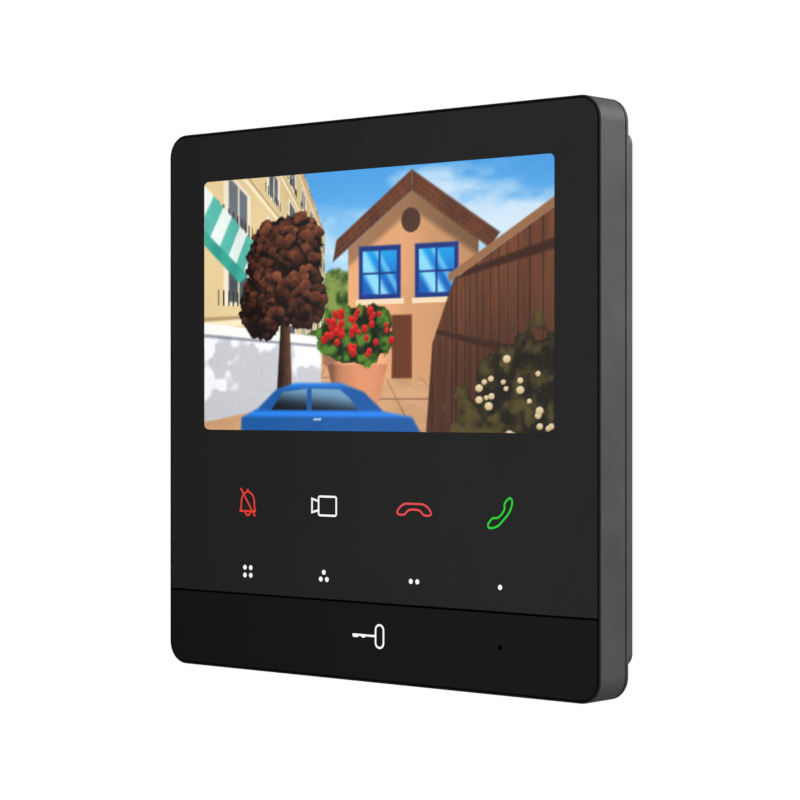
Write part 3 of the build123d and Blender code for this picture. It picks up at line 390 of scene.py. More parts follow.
def front_panel_skin():
    """The black face: satin hard coat with the faintest orange peel, duller where fingers touched it."""
    material, tree, shader = finish("panel_black", Specular_IOR_Level=PANEL_SPECULAR)
    skin = tree.use(MOULD_SKIN, Grain=0.16 * MM, Depth=0.6 * MICRON, Roughness=0.36, Spread=0.06)
    touched = tree.span(tree.noise(tree.place(), 9 * MM, 5.0, 0.6, 1.2), 0.50, 0.72)
    body = shades(tree, skin["Tone"], PANEL_BLACK, 0.06)
    edge = tree.use(EDGE_WEAR_AND_HIGHLIGHT, Radius=0.2 * MM, Amount=0.35)["Mask"]
    # Lighter edges: partly rubbed wear, partly a painted edge highlight.
    body = tree.mix(edge, body, scaled(PANEL_BLACK, 2.2))
    film = tree.use(SETTLED_DUST, Amount=0.05)["Mask"]
    tree.put(shader["Base Color"], tree.mix(film, body, (0.30, 0.29, 0.27)))
    tree.put(shader["Roughness"], tree.math("MULTIPLY_ADD", touched, 0.04, skin["Roughness"]))
    tree.put(shader["Normal"], skin["Normal"])
    return material


def board_laminate():
    """Green solder mask over copper: thin traces in steps, plated holes with painted shade in their bores,
    and darker bare laminate between.
    """
    material, tree, shader = finish("board_laminate", Coat_Weight=0.35, Coat_Roughness=0.15)
    where = tree.place((1.0, 0.001, 1.0))
    coarse = tree.cells(where, 3.4 * MM, "F2", metric="CHEBYCHEV")
    near = tree.cells(where, 3.4 * MM, "F1", metric="CHEBYCHEV")
    trace = tree.span(tree.math("SUBTRACT", coarse, near), 0.16, 0.10)
    second, first = (tree.cells(where, 1.3 * MM, rank, metric="MANHATTAN") for rank in ("F2", "F1"))
    fine = tree.span(tree.math("SUBTRACT", second, first), 0.14, 0.08)
    crowded = tree.span(tree.noise(where, 14 * MM), 0.48, 0.52)
    copper = tree.math("MAXIMUM", trace, tree.math("MULTIPLY", fine, crowded))
    hole = tree.cells(where, 2.3 * MM)
    pad = tree.span(hole, 0.16, 0.12)
    bore = tree.span(hole, 0.07, 0.05)
    skin = tree.use(MOULD_SKIN, Grain=0.3 * MM, Depth=MICRON, Roughness=0.38, Spread=0.12)
    mask = tree.mix(skin["Tone"], (0.012, 0.10, 0.045), (0.018, 0.14, 0.065))
    mask = tree.mix(copper, mask, (0.030, 0.235, 0.100))
    mask = tree.mix(pad, mask, (0.80, 0.60, 0.28))
    # Painted shade: near black where a hole's bore goes into the board.
    tree.put(shader["Base Color"], tree.mix(bore, mask, (0.010, 0.012, 0.010)))
    tree.put(shader["Roughness"], skin["Roughness"])
    height = tree.math("SUBTRACT", tree.math("MAXIMUM", copper, pad), bore)
    tree.put(shader["Normal"], tree.bump(height, 0.03 * MM, skin["Normal"]))
    return material


def flat_cable(name, film, conductor, pitch, rough):
    """Flat cable: conductors side by side across X, seen through a film."""
    material, tree, shader = finish(name, Coat_Weight=0.5, Coat_Roughness=0.2)
    wave = tree.math("SINE", tree.math("MULTIPLY", tree.axis("X"), 2 * pi / (pitch * MM)))
    strip = tree.span(wave, -0.2, 0.3)
    skin = tree.use(MOULD_SKIN, Grain=0.4 * MM, Depth=2 * MICRON, Roughness=rough, Spread=0.12)
    tree.put(shader["Base Color"], tree.mix(strip, shades(tree, skin["Tone"], film, 0.1), conductor))
    tree.put(shader["Roughness"], skin["Roughness"])
    tree.put(shader["Normal"], tree.bump(strip, 0.03 * MM, skin["Normal"]))
    return material


def cell_foam():
    """Black closed-cell foam: open bubbles of two sizes on its cut faces, with painted shade in their pits.
    """
    material, tree, shader = finish("cell_foam", Sheen_Weight=0.15)
    where = tree.place()
    large = tree.math("ADD", tree.cells(where, 0.8 * MM), 0.15)
    bubbles = tree.math("MINIMUM", tree.cells(where, 0.35 * MM), large)
    wall = tree.span(bubbles, 0.15, 0.6)
    # Painted shade: near black in the bubbles' pits, lighter on the walls between them.
    tree.put(shader["Base Color"], tree.mix(wall, (0.012, 0.012, 0.013), (0.05, 0.05, 0.052)))
    tree.put(shader["Roughness"], tree.span(bubbles, 0.1, 0.6, 0.98, 0.78))
    tree.put(shader["Normal"], tree.bump(bubbles, 0.12 * MM))
    return material


def capacitor_sleeve():
    """A drawn aluminium can with a black printed band at its lower side."""
    material, tree, shader = finish("capacitor_can", Coat_Weight=0.2)
    face = tree.use(WORKED_METAL, Stretch=(1.0, 0.05, 1.0), Line=0.15 * MM, Roughness=0.30, Spread=0.2)
    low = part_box("capacitors")[0].z
    stripe = tree.span(tree.axis("Z"), low + 1.9 * MM, low + 1.7 * MM)
    body = tree.mix(face["Tone"], (0.62, 0.63, 0.65), (0.82, 0.83, 0.84))
    tree.put(shader["Base Color"], tree.mix(stripe, body, (0.015, 0.015, 0.017)))
    tree.put(shader["Metallic"], tree.math("SUBTRACT", 1.0, stripe))
    tree.put(shader["Roughness"], tree.math("MULTIPLY_ADD", stripe, 0.15, face["Roughness"]))
    tree.put(shader["Normal"], face["Normal"])
    return material


def light_package():
    """A white lamp body whose middle is yellow phosphor."""
    material, tree, shader = finish("light_package", Coat_Weight=0.6)
    grain = tree.noise(tree.place(), 0.12 * MM, 3.0)
    window = tree.span(tree.axis("Y"), LIGHTS_FRONT + 0.06 * MM, LIGHTS_FRONT + 0.02 * MM)
    resin = tree.mix(grain, (0.85, 0.66, 0.10), (0.98, 0.84, 0.25))
    tree.put(shader["Base Color"], tree.mix(window, (0.86, 0.86, 0.84), resin))
    tree.put(shader["Roughness"], tree.span(grain, 0.2, 0.8, 0.25, 0.5))
    return material


def pressed_ferrite():
    """Grey pressed powder with dark and bright grains."""
    material, tree, shader = finish("pressed_ferrite")
    grains = tree.noise(tree.place(), 0.18 * MM, 5.0, 0.7)
    bright = tree.span(grains, 0.35, 0.68)
    tree.put(shader["Base Color"], tree.mix(bright, (0.10, 0.10, 0.105), (0.24, 0.24, 0.25)))
    tree.put(shader["Roughness"], tree.span(grains, 0.3, 0.7, 0.82, 0.6))
    tree.put(shader["Normal"], tree.bump(grains, 0.02 * MM))
    return material


def glass_plate():
    """The display cell edge on: a cool, dark plate with faint polariser streaks."""
    material, tree, shader = finish("display_cell", Coat_Weight=1.0, Coat_Roughness=0.04)
    where = tree.place((1.0, 1.0, 0.05))
    streak = tree.noise(where, 0.6 * MM, 3.0)
    tree.put(shader["Base Color"], tree.mix(streak, (0.020, 0.026, 0.032), (0.040, 0.048, 0.056)))
    tree.put(shader["Roughness"], tree.span(streak, 0.2, 0.8, 0.06, 0.14))
    return material


def light_guide():
    """Milky light guide with its printed dots in a staggered pattern."""
    material, tree, shader = finish("light_guide", Coat_Weight=0.5)
    where = tree.place()
    dots = tree.span(tree.cells(where, 0.9 * MM), 0.30, 0.22)
    haze = tree.noise(where, 12 * MM, 3.0)
    body = tree.mix(haze, (0.80, 0.81, 0.80), (0.90, 0.90, 0.88))
    tree.put(shader["Base Color"], tree.mix(dots, body, (0.97, 0.97, 0.95)))
    tree.put(shader["Roughness"], tree.span(dots, 0.0, 1.0, 0.30, 0.55))
    return material


def lit_picture():
    """The lit display under a hard-coated lens: the painted street glows through the gloss."""
    material, tree, shader = finish(
        "lit_display", Emission_Strength=SCREEN_GLOW, Coat_Weight=0.0, IOR=1.45, Specular_IOR_Level=0.25
    )
    painted = tree.add("Attribute", attribute_name="picture", attribute_type="GEOMETRY").outputs["Color"]
    smear = tree.noise(tree.place(), 11 * MM, 5.0, 0.6, 1.0)
    tree.put(shader["Base Color"], tree.mix(smear, (0.004, 0.004, 0.005), (0.008, 0.008, 0.009)))
    tree.put(shader["Emission Color"], painted)
    tree.put(shader["Roughness"], tree.span(smear, 0.35, 0.70, 0.10, 0.20))
    return material


def lit_print(name, colour):
    """A key symbol lit from behind: even glow with a slight cloud in the print."""
    material, tree, shader = finish(name, Emission_Strength=ICON_GLOW, Specular_IOR_Level=0.2)
    cloud = tree.noise(tree.place(), 1.2 * MM, 3.0)
    tree.put(shader["Base Color"], tree.mix(cloud, scaled(colour, 0.05), scaled(colour, 0.08)))
    tree.put(shader["Emission Color"], tree.mix(cloud, scaled(colour, 0.92), scaled(colour, 1.04)))
    tree.put(shader["Roughness"], tree.span(cloud, 0.3, 0.7, 0.35, 0.5))
    return material


def dress(material, *nodes):
    """Gives CAD nodes a finish in every one of their material slots."""
    for name in nodes:
        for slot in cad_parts[name].material_slots:
            slot.material = material


CHIPS = ("processor", "memory_chips", "power_chip", "network_transformer")
CLAMPING = ("terminal_screws", "terminal_clamps")
GILDED = ("network_jack_contacts", "terminal_pins")

# Name, colour, stretch, line in millimetres, depth in microns, roughness and the nodes
METALS = (
    ("ground_steel", (0.60, 0.60, 0.61), (0.05, 1.0, 1.0), 0.08, 0.8, 0.22, ("hinge_pins",)),
    ("bright_sheet", (0.66, 0.67, 0.68), (0.04, 1.0, 1.0), 0.15, 1.2, 0.30, ("lcd_bezel",)),
    ("tinned_shield", (0.70, 0.70, 0.68), (1.0, 1.0, 0.06), 0.20, 1.5, 0.34, ("radio_module",)),
    ("nickel_shield", (0.66, 0.64, 0.60), (1.0, 1.0, 0.05), 0.14, 1.2, 0.26, ("network_jack_shield",)),
    ("nickel_terminal", (0.62, 0.61, 0.58), (1.0, 0.2, 1.0), 0.18, 2.0, 0.28, CLAMPING),
    ("microphone_can", (0.74, 0.74, 0.73), (1.0, 0.2, 1.0), 0.12, 1.0, 0.30, ("microphone",)),
    ("plated_magnet", (0.52, 0.52, 0.54), (0.2, 1.0, 1.0), 0.30, 1.0, 0.24, ("speaker_magnet",)),
    ("gold_flash", (0.86, 0.62, 0.22), (1.0, 1.0, 0.05), 0.10, 0.6, 0.20, GILDED),
)

# Name, colour, grain in millimetres, depth in microns, roughness and the nodes
PLASTICS = (
    ("connector_ivory", (0.68, 0.63, 0.50), 0.20, 2.0, 0.48, ("display_connector", "ribbon_connectors")),
    ("light_box_white", (0.80, 0.80, 0.77), 0.22, 2.5, 0.50, ("icon_light_box",)),
    ("key_rubber", (0.030, 0.030, 0.033), 0.30, 6.0, 0.78, ("touch_contacts",)),
    ("boot_rubber", (0.016, 0.016, 0.017), 0.35, 7.0, 0.82, ("microphone_boot",)),
    ("switch_nylon", (0.020, 0.020, 0.021), 0.18, 2.5, 0.44, ("unlock_switch",)),
    ("plunger_nylon", (0.52, 0.49, 0.40), 0.18, 1.5, 0.40, ("switch_plunger",)),
    ("chip_epoxy", (0.014, 0.014, 0.016), 0.14, 2.5, 0.58, CHIPS),
    ("antenna_film", (0.020, 0.020, 0.021), 0.50, 1.0, 0.30, ("antenna",)),
    ("lead_jacket", (0.060, 0.060, 0.062), 0.25, 1.5, 0.42, ("antenna_lead",)),
    ("jack_nylon", (0.014, 0.014, 0.015), 0.20, 3.0, 0.50, ("network_jack",)),
    ("terminal_green", (0.020, 0.215, 0.065), 0.24, 3.0, 0.42, ("terminal_header", "terminal_plug")),
    ("speaker_black", (0.016, 0.016, 0.017), 0.22, 3.0, 0.48, ("speaker_frame",)),
    ("cone_film", (0.115, 0.110, 0.100), 0.45, 6.0, 0.55, ("speaker_cone",)),
)


def dress_outside():
    """The finishes of what is seen from outside."""
    dress(framed_grey(), "front_frame")
    dress(plastic("rear_housing_grey", REAR_GREY, 0.30, 6.0, 0.52, worn=0.45, dust=0.16), "rear_cover")
    dress(front_panel_skin(), "front_panel")
    faint = {"spread": 0.08, "worn": 0.1, "dust": 0.05, "Specular_IOR_Level": BAR_SPECULAR}
    dress(plastic("bar_black", BAR_BLACK, 0.18, 0.8, 0.36, **faint), "unlock_bar")
    dress(galvanised_sheet(), "wall_plate")
    zinc = metal("zinc_screw", (0.58, 0.59, 0.62), (1.0, 0.3, 1.0), 0.25, 3.0, 0.32, stain=0.62)
    dress(zinc, "housing_screws", "board_screws", "key_board_screws")


def dress_inside():
    """The finishes of what is inside the housing."""
    dress(board_laminate(), "main_board", "key_board")
    dress(cell_foam(), "display_gasket", "speaker_gasket")
    dress(flat_cable("amber_flex", (0.50, 0.22, 0.04), (0.72, 0.38, 0.10), 0.5, 0.30), "lcd_flex_cable")
    dress(flat_cable("white_ribbon", (0.78, 0.80, 0.83), (0.62, 0.66, 0.72), 1.0, 0.42), "board_ribbon_cable")
    dress(capacitor_sleeve(), "capacitors")
    dress(light_package(), "key_lights")
    dress(pressed_ferrite(), "power_inductors")
    dress(glass_plate(), "lcd_glass")
    dress(light_guide(), "lcd_backlight")
    for name, colour, stretch, line, depth, rough, nodes in METALS:
        dress(metal(name, colour, stretch, line, depth, rough), *nodes)
    for name, colour, grain, depth, rough, nodes in PLASTICS:
        dress(plastic(name, colour, grain, depth, rough), *nodes)


# ---------------------------------------------------------------- picture
HORIZON = 0.46
VANISHING = 0.80
LATTICE = 67


def soft_step(low, high, value):
    """0 below low, 1 above high, and a smooth S between them."""
    t = np.clip((value - low) / (high - low), 0.0, 1.0)
    return t * t * (3.0 - 2.0 * t)


def band(value, low, high, soft=0.01):
    """1 between two values and 0 outside, with soft sides."""
    return soft_step(low - soft, low + soft, value) - soft_step(high - soft, high + soft, value)


def patches(x, y, size, seed, octaves=4):
    """Cloudy noise from 0 to 1.

    Each octave is a seeded lattice of random numbers, blended between its four nearest points with smooth
    weights. The next octave has half the size and half the share.
    """
    draw = np.random.default_rng(seed)
    total = np.zeros_like(x)
    for octave in range(octaves):
        lattice = draw.random((LATTICE, LATTICE))
        across, up = x * 2.0**octave / size, y * 2.0**octave / size
        left, low = np.floor(across).astype(int), np.floor(up).astype(int)
        s, t = soft_step(0.0, 1.0, across - left), soft_step(0.0, 1.0, up - low)
        a, b, c, d = (lattice[(low + j) % LATTICE, (left + i) % LATTICE] for j in (0, 1) for i in (0, 1))
        total += ((a * (1 - s) + b * s) * (1 - t) + (c * (1 - s) + d * s) * t) * 0.5 ** (octave + 1)
    return total / (1.0 - 0.5**octaves)


def shape(x, y, corners, soft=0.005):
    """A polygon's mask. The nearest side gives the distance, and the count of crossings gives the sign."""
    distance = np.full_like(x, 9.0)
    within = np.zeros(x.shape, bool)
    for (ax, ay), (bx, by) in zip(corners, corners[1:] + corners[:1]):
        wide, tall = bx - ax, by - ay
        along = np.clip(((x - ax) * wide + (y - ay) * tall) / (wide**2 + tall**2), 0, 1)
        distance = np.minimum(distance, np.hypot(x - ax - along * wide, y - ay - along * tall))
        if tall:
            within ^= ((ay > y) != (by > y)) & (x < wide * (y - ay) / tall + ax)
    return soft_step(-soft, soft, np.where(within, distance, -distance))


def oblong(x, y, left, low, right, high, soft=0.005):
    """The mask of an upright rectangle."""
    return shape(x, y, [(left, low), (left, high), (right, high), (right, low)], soft)


def blob(x, y, centre, radii):
    """1 at an ellipse's centre, falling to 0 on its edge and below 0 outside."""
    return 1.0 - np.hypot((x - centre[0]) / radii[0], (y - centre[1]) / radii[1])


def lay(picture, mask, colour):
    """Lays a colour, or a whole coloured layer, over the picture where the mask is."""
    return picture + (np.asarray(colour) - picture) * np.clip(mask, 0.0, 1.0)[..., None]


def shade(colour, light):
    """A colour times a light that changes from point to point."""
    return np.asarray(colour) * light[..., None]


def between(first, second, share):
    """Two colours mixed by a share that changes from point to point."""
    return np.asarray(first) + (np.asarray(second) - np.asarray(first)) * np.clip(share, 0, 1)[..., None]


def scattered(draw, centre, radii):
    """A random place, evenly spread in an ellipse: the root of a random number, at a random turn."""
    turn, out = draw.uniform(0, 2 * np.pi), np.sqrt(draw.random())
    return centre[0] + radii[0] * out * np.cos(turn), centre[1] + radii[1] * out * np.sin(turn)


def sky(x, y):
    """Blue that pales towards the horizon, with thin clouds."""
    blue = between((0.72, 0.89, 0.97), (0.30, 0.63, 0.90), soft_step(0.45, 1.0, y))
    cloud = soft_step(0.50, 0.78, patches(x, 2.2 * y, 0.42, 3, 5)) * 0.75
    return lay(blue, cloud, (0.95, 0.97, 0.99))


def tall_facade(picture, x, y):
    """A tall pale building that runs away to the vanishing point, so its depth is one over its scale."""
    scale = np.clip((VANISHING - x) / VANISHING, 0.05, 1.0)
    depth, height = 1.0 / scale, (y - HORIZON) / scale
    mask = (1 - soft_step(0.655, 0.665, x)) * (1 - soft_step(1.70, 1.76, height))
    mask *= soft_step(-0.3, -0.28, height)
    storey, bay = np.mod(height / 0.40 + 0.15, 1.0), np.mod(depth / 0.62 + 0.35, 1.0)
    light = 1.04 - 0.10 * patches(x, y, 0.16, 5) - 0.05 * np.clip(depth - 1, 0, 4)
    wall = shade((0.93, 0.83, 0.62), light)
    wall = lay(wall, band(storey, 0.0, 0.09, 0.02), (0.99, 0.93, 0.78))
    wall = lay(wall, band(storey, 0.09, 0.13, 0.02) * 0.6, (0.55, 0.44, 0.30))
    frame_mask = band(bay, 0.22, 0.74, 0.02) * band(storey, 0.26, 0.88, 0.02)
    wall = lay(wall, frame_mask, (0.97, 0.92, 0.82))
    glass = band(bay, 0.30, 0.66, 0.02) * band(storey, 0.31, 0.83, 0.02)
    mirrored = between((0.22, 0.24, 0.26), (0.52, 0.56, 0.58), patches(depth, height, 0.2, 8))
    wall = lay(wall, glass, mirrored)
    wall = lay(wall, glass * band(bay, 0.465, 0.495, 0.012), (0.90, 0.86, 0.78))
    railing = band(storey, 0.26, 0.44, 0.01) * band(bay, 0.14, 0.82, 0.02)
    wall = lay(wall, railing * band(np.mod(depth / 0.05, 1), 0, 0.35, 0.1), (0.24, 0.22, 0.20))
    wall = lay(wall, band(height, 1.60, 1.70, 0.02), (0.82, 0.66, 0.46))
    return lay(picture, mask, wall)


def awning(picture, x, y):
    """A striped awning seen from below, with a pale scalloped front edge."""
    cloth = shape(x, y, [(0.0, 0.99), (0.0, 0.80), (0.235, 0.615), (0.33, 0.700)])
    along = (x * 0.80 + (1 - y) * 0.60) / (1.15 - x)
    stripe = band(np.mod(along * 7.0, 1.0), 0.0, 0.5, 0.06)
    light = 0.92 + 0.16 * patches(x, y, 0.1, 12)
    picture = lay(picture, cloth, shade(between((0.36, 0.74, 0.68), (0.93, 0.97, 0.95), stripe), light))
    edge = shape(x, y, [(0.0, 0.805), (0.0, 0.745), (0.20, 0.585), (0.245, 0.615)])
    scallop = 0.8 + 0.2 * np.cos(along * 7.0 * 2 * np.pi)
    return lay(picture, edge, between((0.12, 0.50, 0.46), (0.25, 0.68, 0.60), scallop))


def far_trees(picture, x, y):
    """Green tree tops at the end of the street."""
    edge = 0.57 + 0.10 * patches(x, 0 * y, 0.12, 21) - 0.04 * np.abs(x - 0.85)
    leaves = patches(x, y, 0.05, 22, 4)
    green = between((0.16, 0.26, 0.10), (0.52, 0.60, 0.30), soft_step(0.3, 0.7, leaves))
    return lay(picture, 1 - soft_step(-0.012, 0.012, y - edge), green)


def gabled_house(picture, x, y):
    """A sunlit rendered house with a tiled roof, blue windows and a wooden door."""
    wall = shape(x, y, [(0.78, 0.20), (0.78, 0.70), (1.10, 0.905), (1.42, 0.72), (1.42, 0.20)])
    sun = 1.02 - 0.20 * soft_step(0.8, 1.5, x) + 0.08 * (patches(x, y, 0.12, 31, 5) - 0.5)
    eaves = np.where(x < 1.10, 0.70 + (x - 0.78) * 0.64, 0.905 - (x - 1.10) * 0.58)
    sun -= 0.30 * band(y - eaves, -0.07, 0.05, 0.02)
    picture = lay(picture, wall, shade((0.90, 0.66, 0.47), sun))
    for left in (0.855, 1.135):
        recess = oblong(x, y, left - 0.02, 0.50, left + 0.19, 0.705)
        picture = lay(picture, recess, (0.08, 0.20, 0.50))
        pane = oblong(x, y, left, 0.52, left + 0.17, 0.685, 0.004)
        slant = x - left + 0.7 * (y - 0.52)
        glare = band(slant, 0.06, 0.13, 0.02) + 0.6 * band(slant, 0.17, 0.20, 0.01)
        blue = between((0.04, 0.36, 0.72), (0.10, 0.62, 0.90), soft_step(0.52, 0.70, y))
        picture = lay(picture, pane, lay(blue, glare, (0.55, 0.85, 0.97)))
        bars = band(x, left + 0.080, left + 0.090, 0.003) + band(y, 0.596, 0.604, 0.003)
        picture = lay(picture, pane * np.clip(bars, 0, 1), (0.08, 0.20, 0.50))
        sill = oblong(x, y, left - 0.035, 0.482, left + 0.205, 0.502, 0.003)
        picture = lay(picture, sill, (0.97, 0.86, 0.72))
    attic = soft_step(0.0, 0.12, blob(x, y, (1.095, 0.795), (0.050, 0.050)))
    picture = lay(picture, attic, (0.30, 0.20, 0.16))
    door = oblong(x, y, 1.00, 0.20, 1.10, 0.44)
    plank = 0.85 + 0.15 * band(np.mod(x / 0.02, 1.0), 0.08, 0.92, 0.06)
    picture = lay(picture, door, shade((0.42, 0.22, 0.12), plank))
    return tiled_roof(picture, x, y)


def tiled_roof(picture, x, y):
    """Two roof slopes, dark brown, with rows of tiles."""
    for corners, lean in (
        ([(0.70, 0.650), (1.10, 0.905), (1.10, 0.985), (0.72, 0.735)], 0.66),
        ([(1.10, 0.985), (1.10, 0.905), (1.47, 0.675), (1.52, 0.730)], -0.62),
    ):
        tiles = shape(x, y, corners)
        rise = y - lean * (x - 1.10)
        rows = band(np.mod(rise / 0.022, 1.0), 0.15, 1.0, 0.1)
        columns = band(np.mod((x + 0.3 * rise) / 0.028, 1.0), 0.12, 1.0, 0.1)
        light = (0.62 + 0.25 * rows + 0.13 * columns) * (0.8 + 0.5 * patches(x, y, 0.05, 41))
        picture = lay(picture, tiles, shade((0.40, 0.23, 0.15), light))
    return picture


def copper_tree(picture, x, y):
    """A copper-leaved tree: a dark crown, then clumps from the back to the front, brighter up and right."""
    trunk = shape(x, y, [(0.405, 0.16), (0.43, 0.50), (0.47, 0.50), (0.485, 0.16)])
    bark = soft_step(0.41, 0.49, x + 0.02 * patches(x, y, 0.02, 50))
    picture = lay(picture, trunk, between((0.10, 0.06, 0.04), (0.38, 0.25, 0.17), bark))
    heaps = (
        ((0.44, 0.62), (0.20, 0.19)),
        ((0.33, 0.50), (0.13, 0.14)),
        ((0.54, 0.52), (0.13, 0.13)),
        ((0.50, 0.74), (0.14, 0.11)),
        ((0.37, 0.70), (0.12, 0.12)),
    )
    leaf = patches(x, y, 0.030, 51, 3)
    crown = np.max([blob(x, y, *heap) for heap in heaps], axis=0)
    picture = lay(picture, soft_step(-0.02, 0.04, crown + 0.35 * (leaf - 0.5)), (0.085, 0.040, 0.034))
    draw = np.random.default_rng(52)
    for share in np.linspace(0.0, 1.0, 320):
        centre, radii = heaps[draw.integers(len(heaps))]
        turn, out = draw.uniform(0, 2 * np.pi), np.sqrt(draw.random())
        aside, above = out * np.cos(turn), out * np.sin(turn)
        place = (centre[0] + radii[0] * aside, centre[1] + radii[1] * above)
        size = draw.uniform(0.012, 0.030)
        clump = soft_step(0.0, 0.30, blob(x, y, place, (size, 0.75 * size)) + 1.1 * (leaf - 0.5))
        glow = 0.10 + 0.30 * share + 0.25 * (0.4 * aside + above)
        glow = glow + 0.22 * (y - place[1]) / size + 0.5 * (leaf - 0.5)
        picture = lay(picture, clump, between((0.12, 0.055, 0.042), (0.66, 0.37, 0.24), glow))
    return picture


def garden_wall(picture, x, y):
    """A white rendered wall with a coping, dappled by leaf shadows."""
    face = shape(x, y, [(0.0, 0.03), (0.0, 0.395), (0.64, 0.335), (0.64, 0.13)])
    dapple = soft_step(0.46, 0.60, patches(x, y, 0.09, 61, 3))
    light = 0.80 + 0.18 * dapple + 0.04 * patches(x, y, 0.02, 62)
    picture = lay(picture, face, np.stack((0.97 * light, 0.975 * light, 0.99 * light + 0.01), -1))
    coping = shape(x, y, [(0.0, 0.385), (0.0, 0.430), (0.65, 0.362), (0.65, 0.330)])
    picture = lay(picture, coping, (0.985, 0.985, 0.97))
    under = shape(x, y, [(0.0, 0.372), (0.0, 0.386), (0.65, 0.331), (0.65, 0.321)])
    return lay(picture, under * 0.8, (0.52, 0.53, 0.58))


def pavement(picture, x, y):
    """Sandy paving whose joints run to the vanishing point."""
    near = np.clip((HORIZON - y) / HORIZON, 0.02, 1.0)
    across, ahead = (x - VANISHING) / near, 1.0 / near
    joints = band(np.mod(across / 0.30, 1), 0, 0.035, 0.015) + band(np.mod(ahead / 0.45, 1), 0, 0.06, 0.02)
    light = 0.86 + 0.22 * patches(across, ahead, 0.15, 71, 5)
    ground = lay(shade((0.86, 0.66, 0.49), light), 0.5 * np.clip(joints, 0, 1), (0.45, 0.30, 0.20))
    return lay(picture, 1 - soft_step(0.325, 0.34, y), ground)


def flower_pot(picture, x, y):
    """A clay pot of red flowers."""
    pot = shape(x, y, [(0.735, 0.06), (0.665, 0.27), (0.985, 0.27), (0.915, 0.06)])
    turn = np.clip((x - 0.825) / 0.16, -1, 1)
    light = 0.62 + 0.42 * np.sqrt(np.clip(1 - (turn - 0.25) ** 2, 0, 1)) - 0.06 * patches(x, y, 0.03, 81)
    picture = lay(picture, pot, shade((0.88, 0.58, 0.42), light))
    rim = oblong(x, y, 0.650, 0.255, 1.000, 0.305)
    picture = lay(picture, rim, shade((0.96, 0.68, 0.50), light + 0.06))
    leaf = patches(x, y, 0.035, 82, 3)
    bush = np.maximum(blob(x, y, (0.82, 0.365), (0.20, 0.115)), blob(x, y, (0.90, 0.40), (0.11, 0.09)))
    green = between((0.04, 0.11, 0.03), (0.34, 0.52, 0.16), soft_step(0.3, 0.75, leaf))
    picture = lay(picture, soft_step(-0.03, 0.05, bush + 0.5 * (leaf - 0.5)), green)
    draw = np.random.default_rng(83)
    for _ in range(46):
        centre = scattered(draw, (0.83, 0.378), (0.185, 0.095))
        size = draw.uniform(0.012, 0.021)
        head = blob(x, y, centre, (size, size))
        red = between((0.66, 0.05, 0.05), (0.95, 0.20, 0.16), soft_step(-0.5, 1.0, (y - centre[1]) / size))
        picture = lay(picture, soft_step(0.0, 0.25, head), red)
    return picture


def timber_gate(picture, x, y):
    """A brown boarded gate on the right, in perspective, with cream flowers climbing its foot."""
    scale = np.clip((x - VANISHING) / 0.965, 0.05, 1.0)
    depth, height = 1.0 / scale, (y - HORIZON) / scale
    outline = [(1.16, -0.1), (1.20, 0.33), (1.30, 0.56), (1.44, 0.64), (1.80, 0.83), (1.80, -0.1)]
    face = shape(x, y, outline)
    board = band(np.mod(depth / 0.075, 1.0), 0.09, 1.0, 0.05)
    tone = 0.72 + 0.5 * patches(depth * 9, height, 0.35, 91, 4)
    light = tone * (0.55 + 0.45 * board) * (0.75 + 0.35 * soft_step(0.1, 0.8, y))
    picture = lay(picture, face, shade((0.42, 0.245, 0.16), light))
    rail = band(height, 0.20, 0.24, 0.008) + band(height, -0.22, -0.18, 0.008)
    picture = lay(picture, face * np.clip(rail, 0, 1), (0.24, 0.13, 0.085))
    capping = [(1.28, 0.555), (1.275, 0.585), (1.44, 0.672), (1.80, 0.865), (1.80, 0.825), (1.44, 0.64)]
    picture = lay(picture, shape(x, y, capping), (0.60, 0.42, 0.29))
    leaf = patches(x, y, 0.05, 92, 4)
    climb = soft_step(-0.05, 0.06, blob(x, y, (1.70, 0.02), (0.36, 0.36)) + 0.9 * (leaf - 0.5))
    olive = between((0.10, 0.08, 0.05), (0.33, 0.29, 0.14), soft_step(0.35, 0.75, leaf))
    picture = lay(picture, climb, olive)
    draw = np.random.default_rng(93)
    for _ in range(60):
        centre = scattered(draw, (1.68, 0.04), (0.30, 0.27))
        size = draw.uniform(0.012, 0.024)
        petal = blob(x, y, centre, (size, size * 0.8))
        cream = between((0.80, 0.68, 0.50), (0.97, 0.90, 0.76), soft_step(-1, 1, (y - centre[1]) / size))
        picture = lay(picture, soft_step(0.0, 0.3, petal), cream)
    return picture


def blue_car(picture, x, y):
    """The roof and side windows of a blue car that passes close by."""
    roof = [(0.20, -0.1), (0.21, 0.050), (0.30, 0.085), (0.40, 0.160), (0.50, 0.185), (0.74, 0.185)]
    boot = [(0.86, 0.150), (0.96, 0.075), (1.10, 0.055), (1.14, 0.0), (1.14, -0.1)]
    light = 0.80 + 0.45 * band(y, 0.055, 0.075, 0.012) + 0.35 * soft_step(0.155, 0.185, y)
    light = light + 0.08 * patches(x, y, 0.1, 95)
    body = shape(x, y, roof + boot, 0.008)
    picture = lay(picture, body, np.clip(shade((0.12, 0.42, 0.76), light), 0, 1))
    glass = between((0.05, 0.08, 0.12), (0.45, 0.62, 0.75), soft_step(0.07, 0.16, y + 0.10 * (x - 0.6)))
    front_window = [(0.375, 0.080), (0.435, 0.150), (0.565, 0.163), (0.565, 0.080)]
    rear_window = [(0.590, 0.080), (0.590, 0.163), (0.735, 0.160), (0.790, 0.125), (0.830, 0.080)]
    for window in (front_window, rear_window):
        picture = lay(picture, shape(x, y, window, 0.005), glass)
    return lay(picture, oblong(x, y, 0.60, 0.040, 0.64, 0.048, 0.003), (0.75, 0.83, 0.90))


BACK_TO_FRONT = (
    far_trees, tall_facade, awning, pavement, gabled_house,
    garden_wall, copper_tree, flower_pot, timber_gate, blue_car,
)


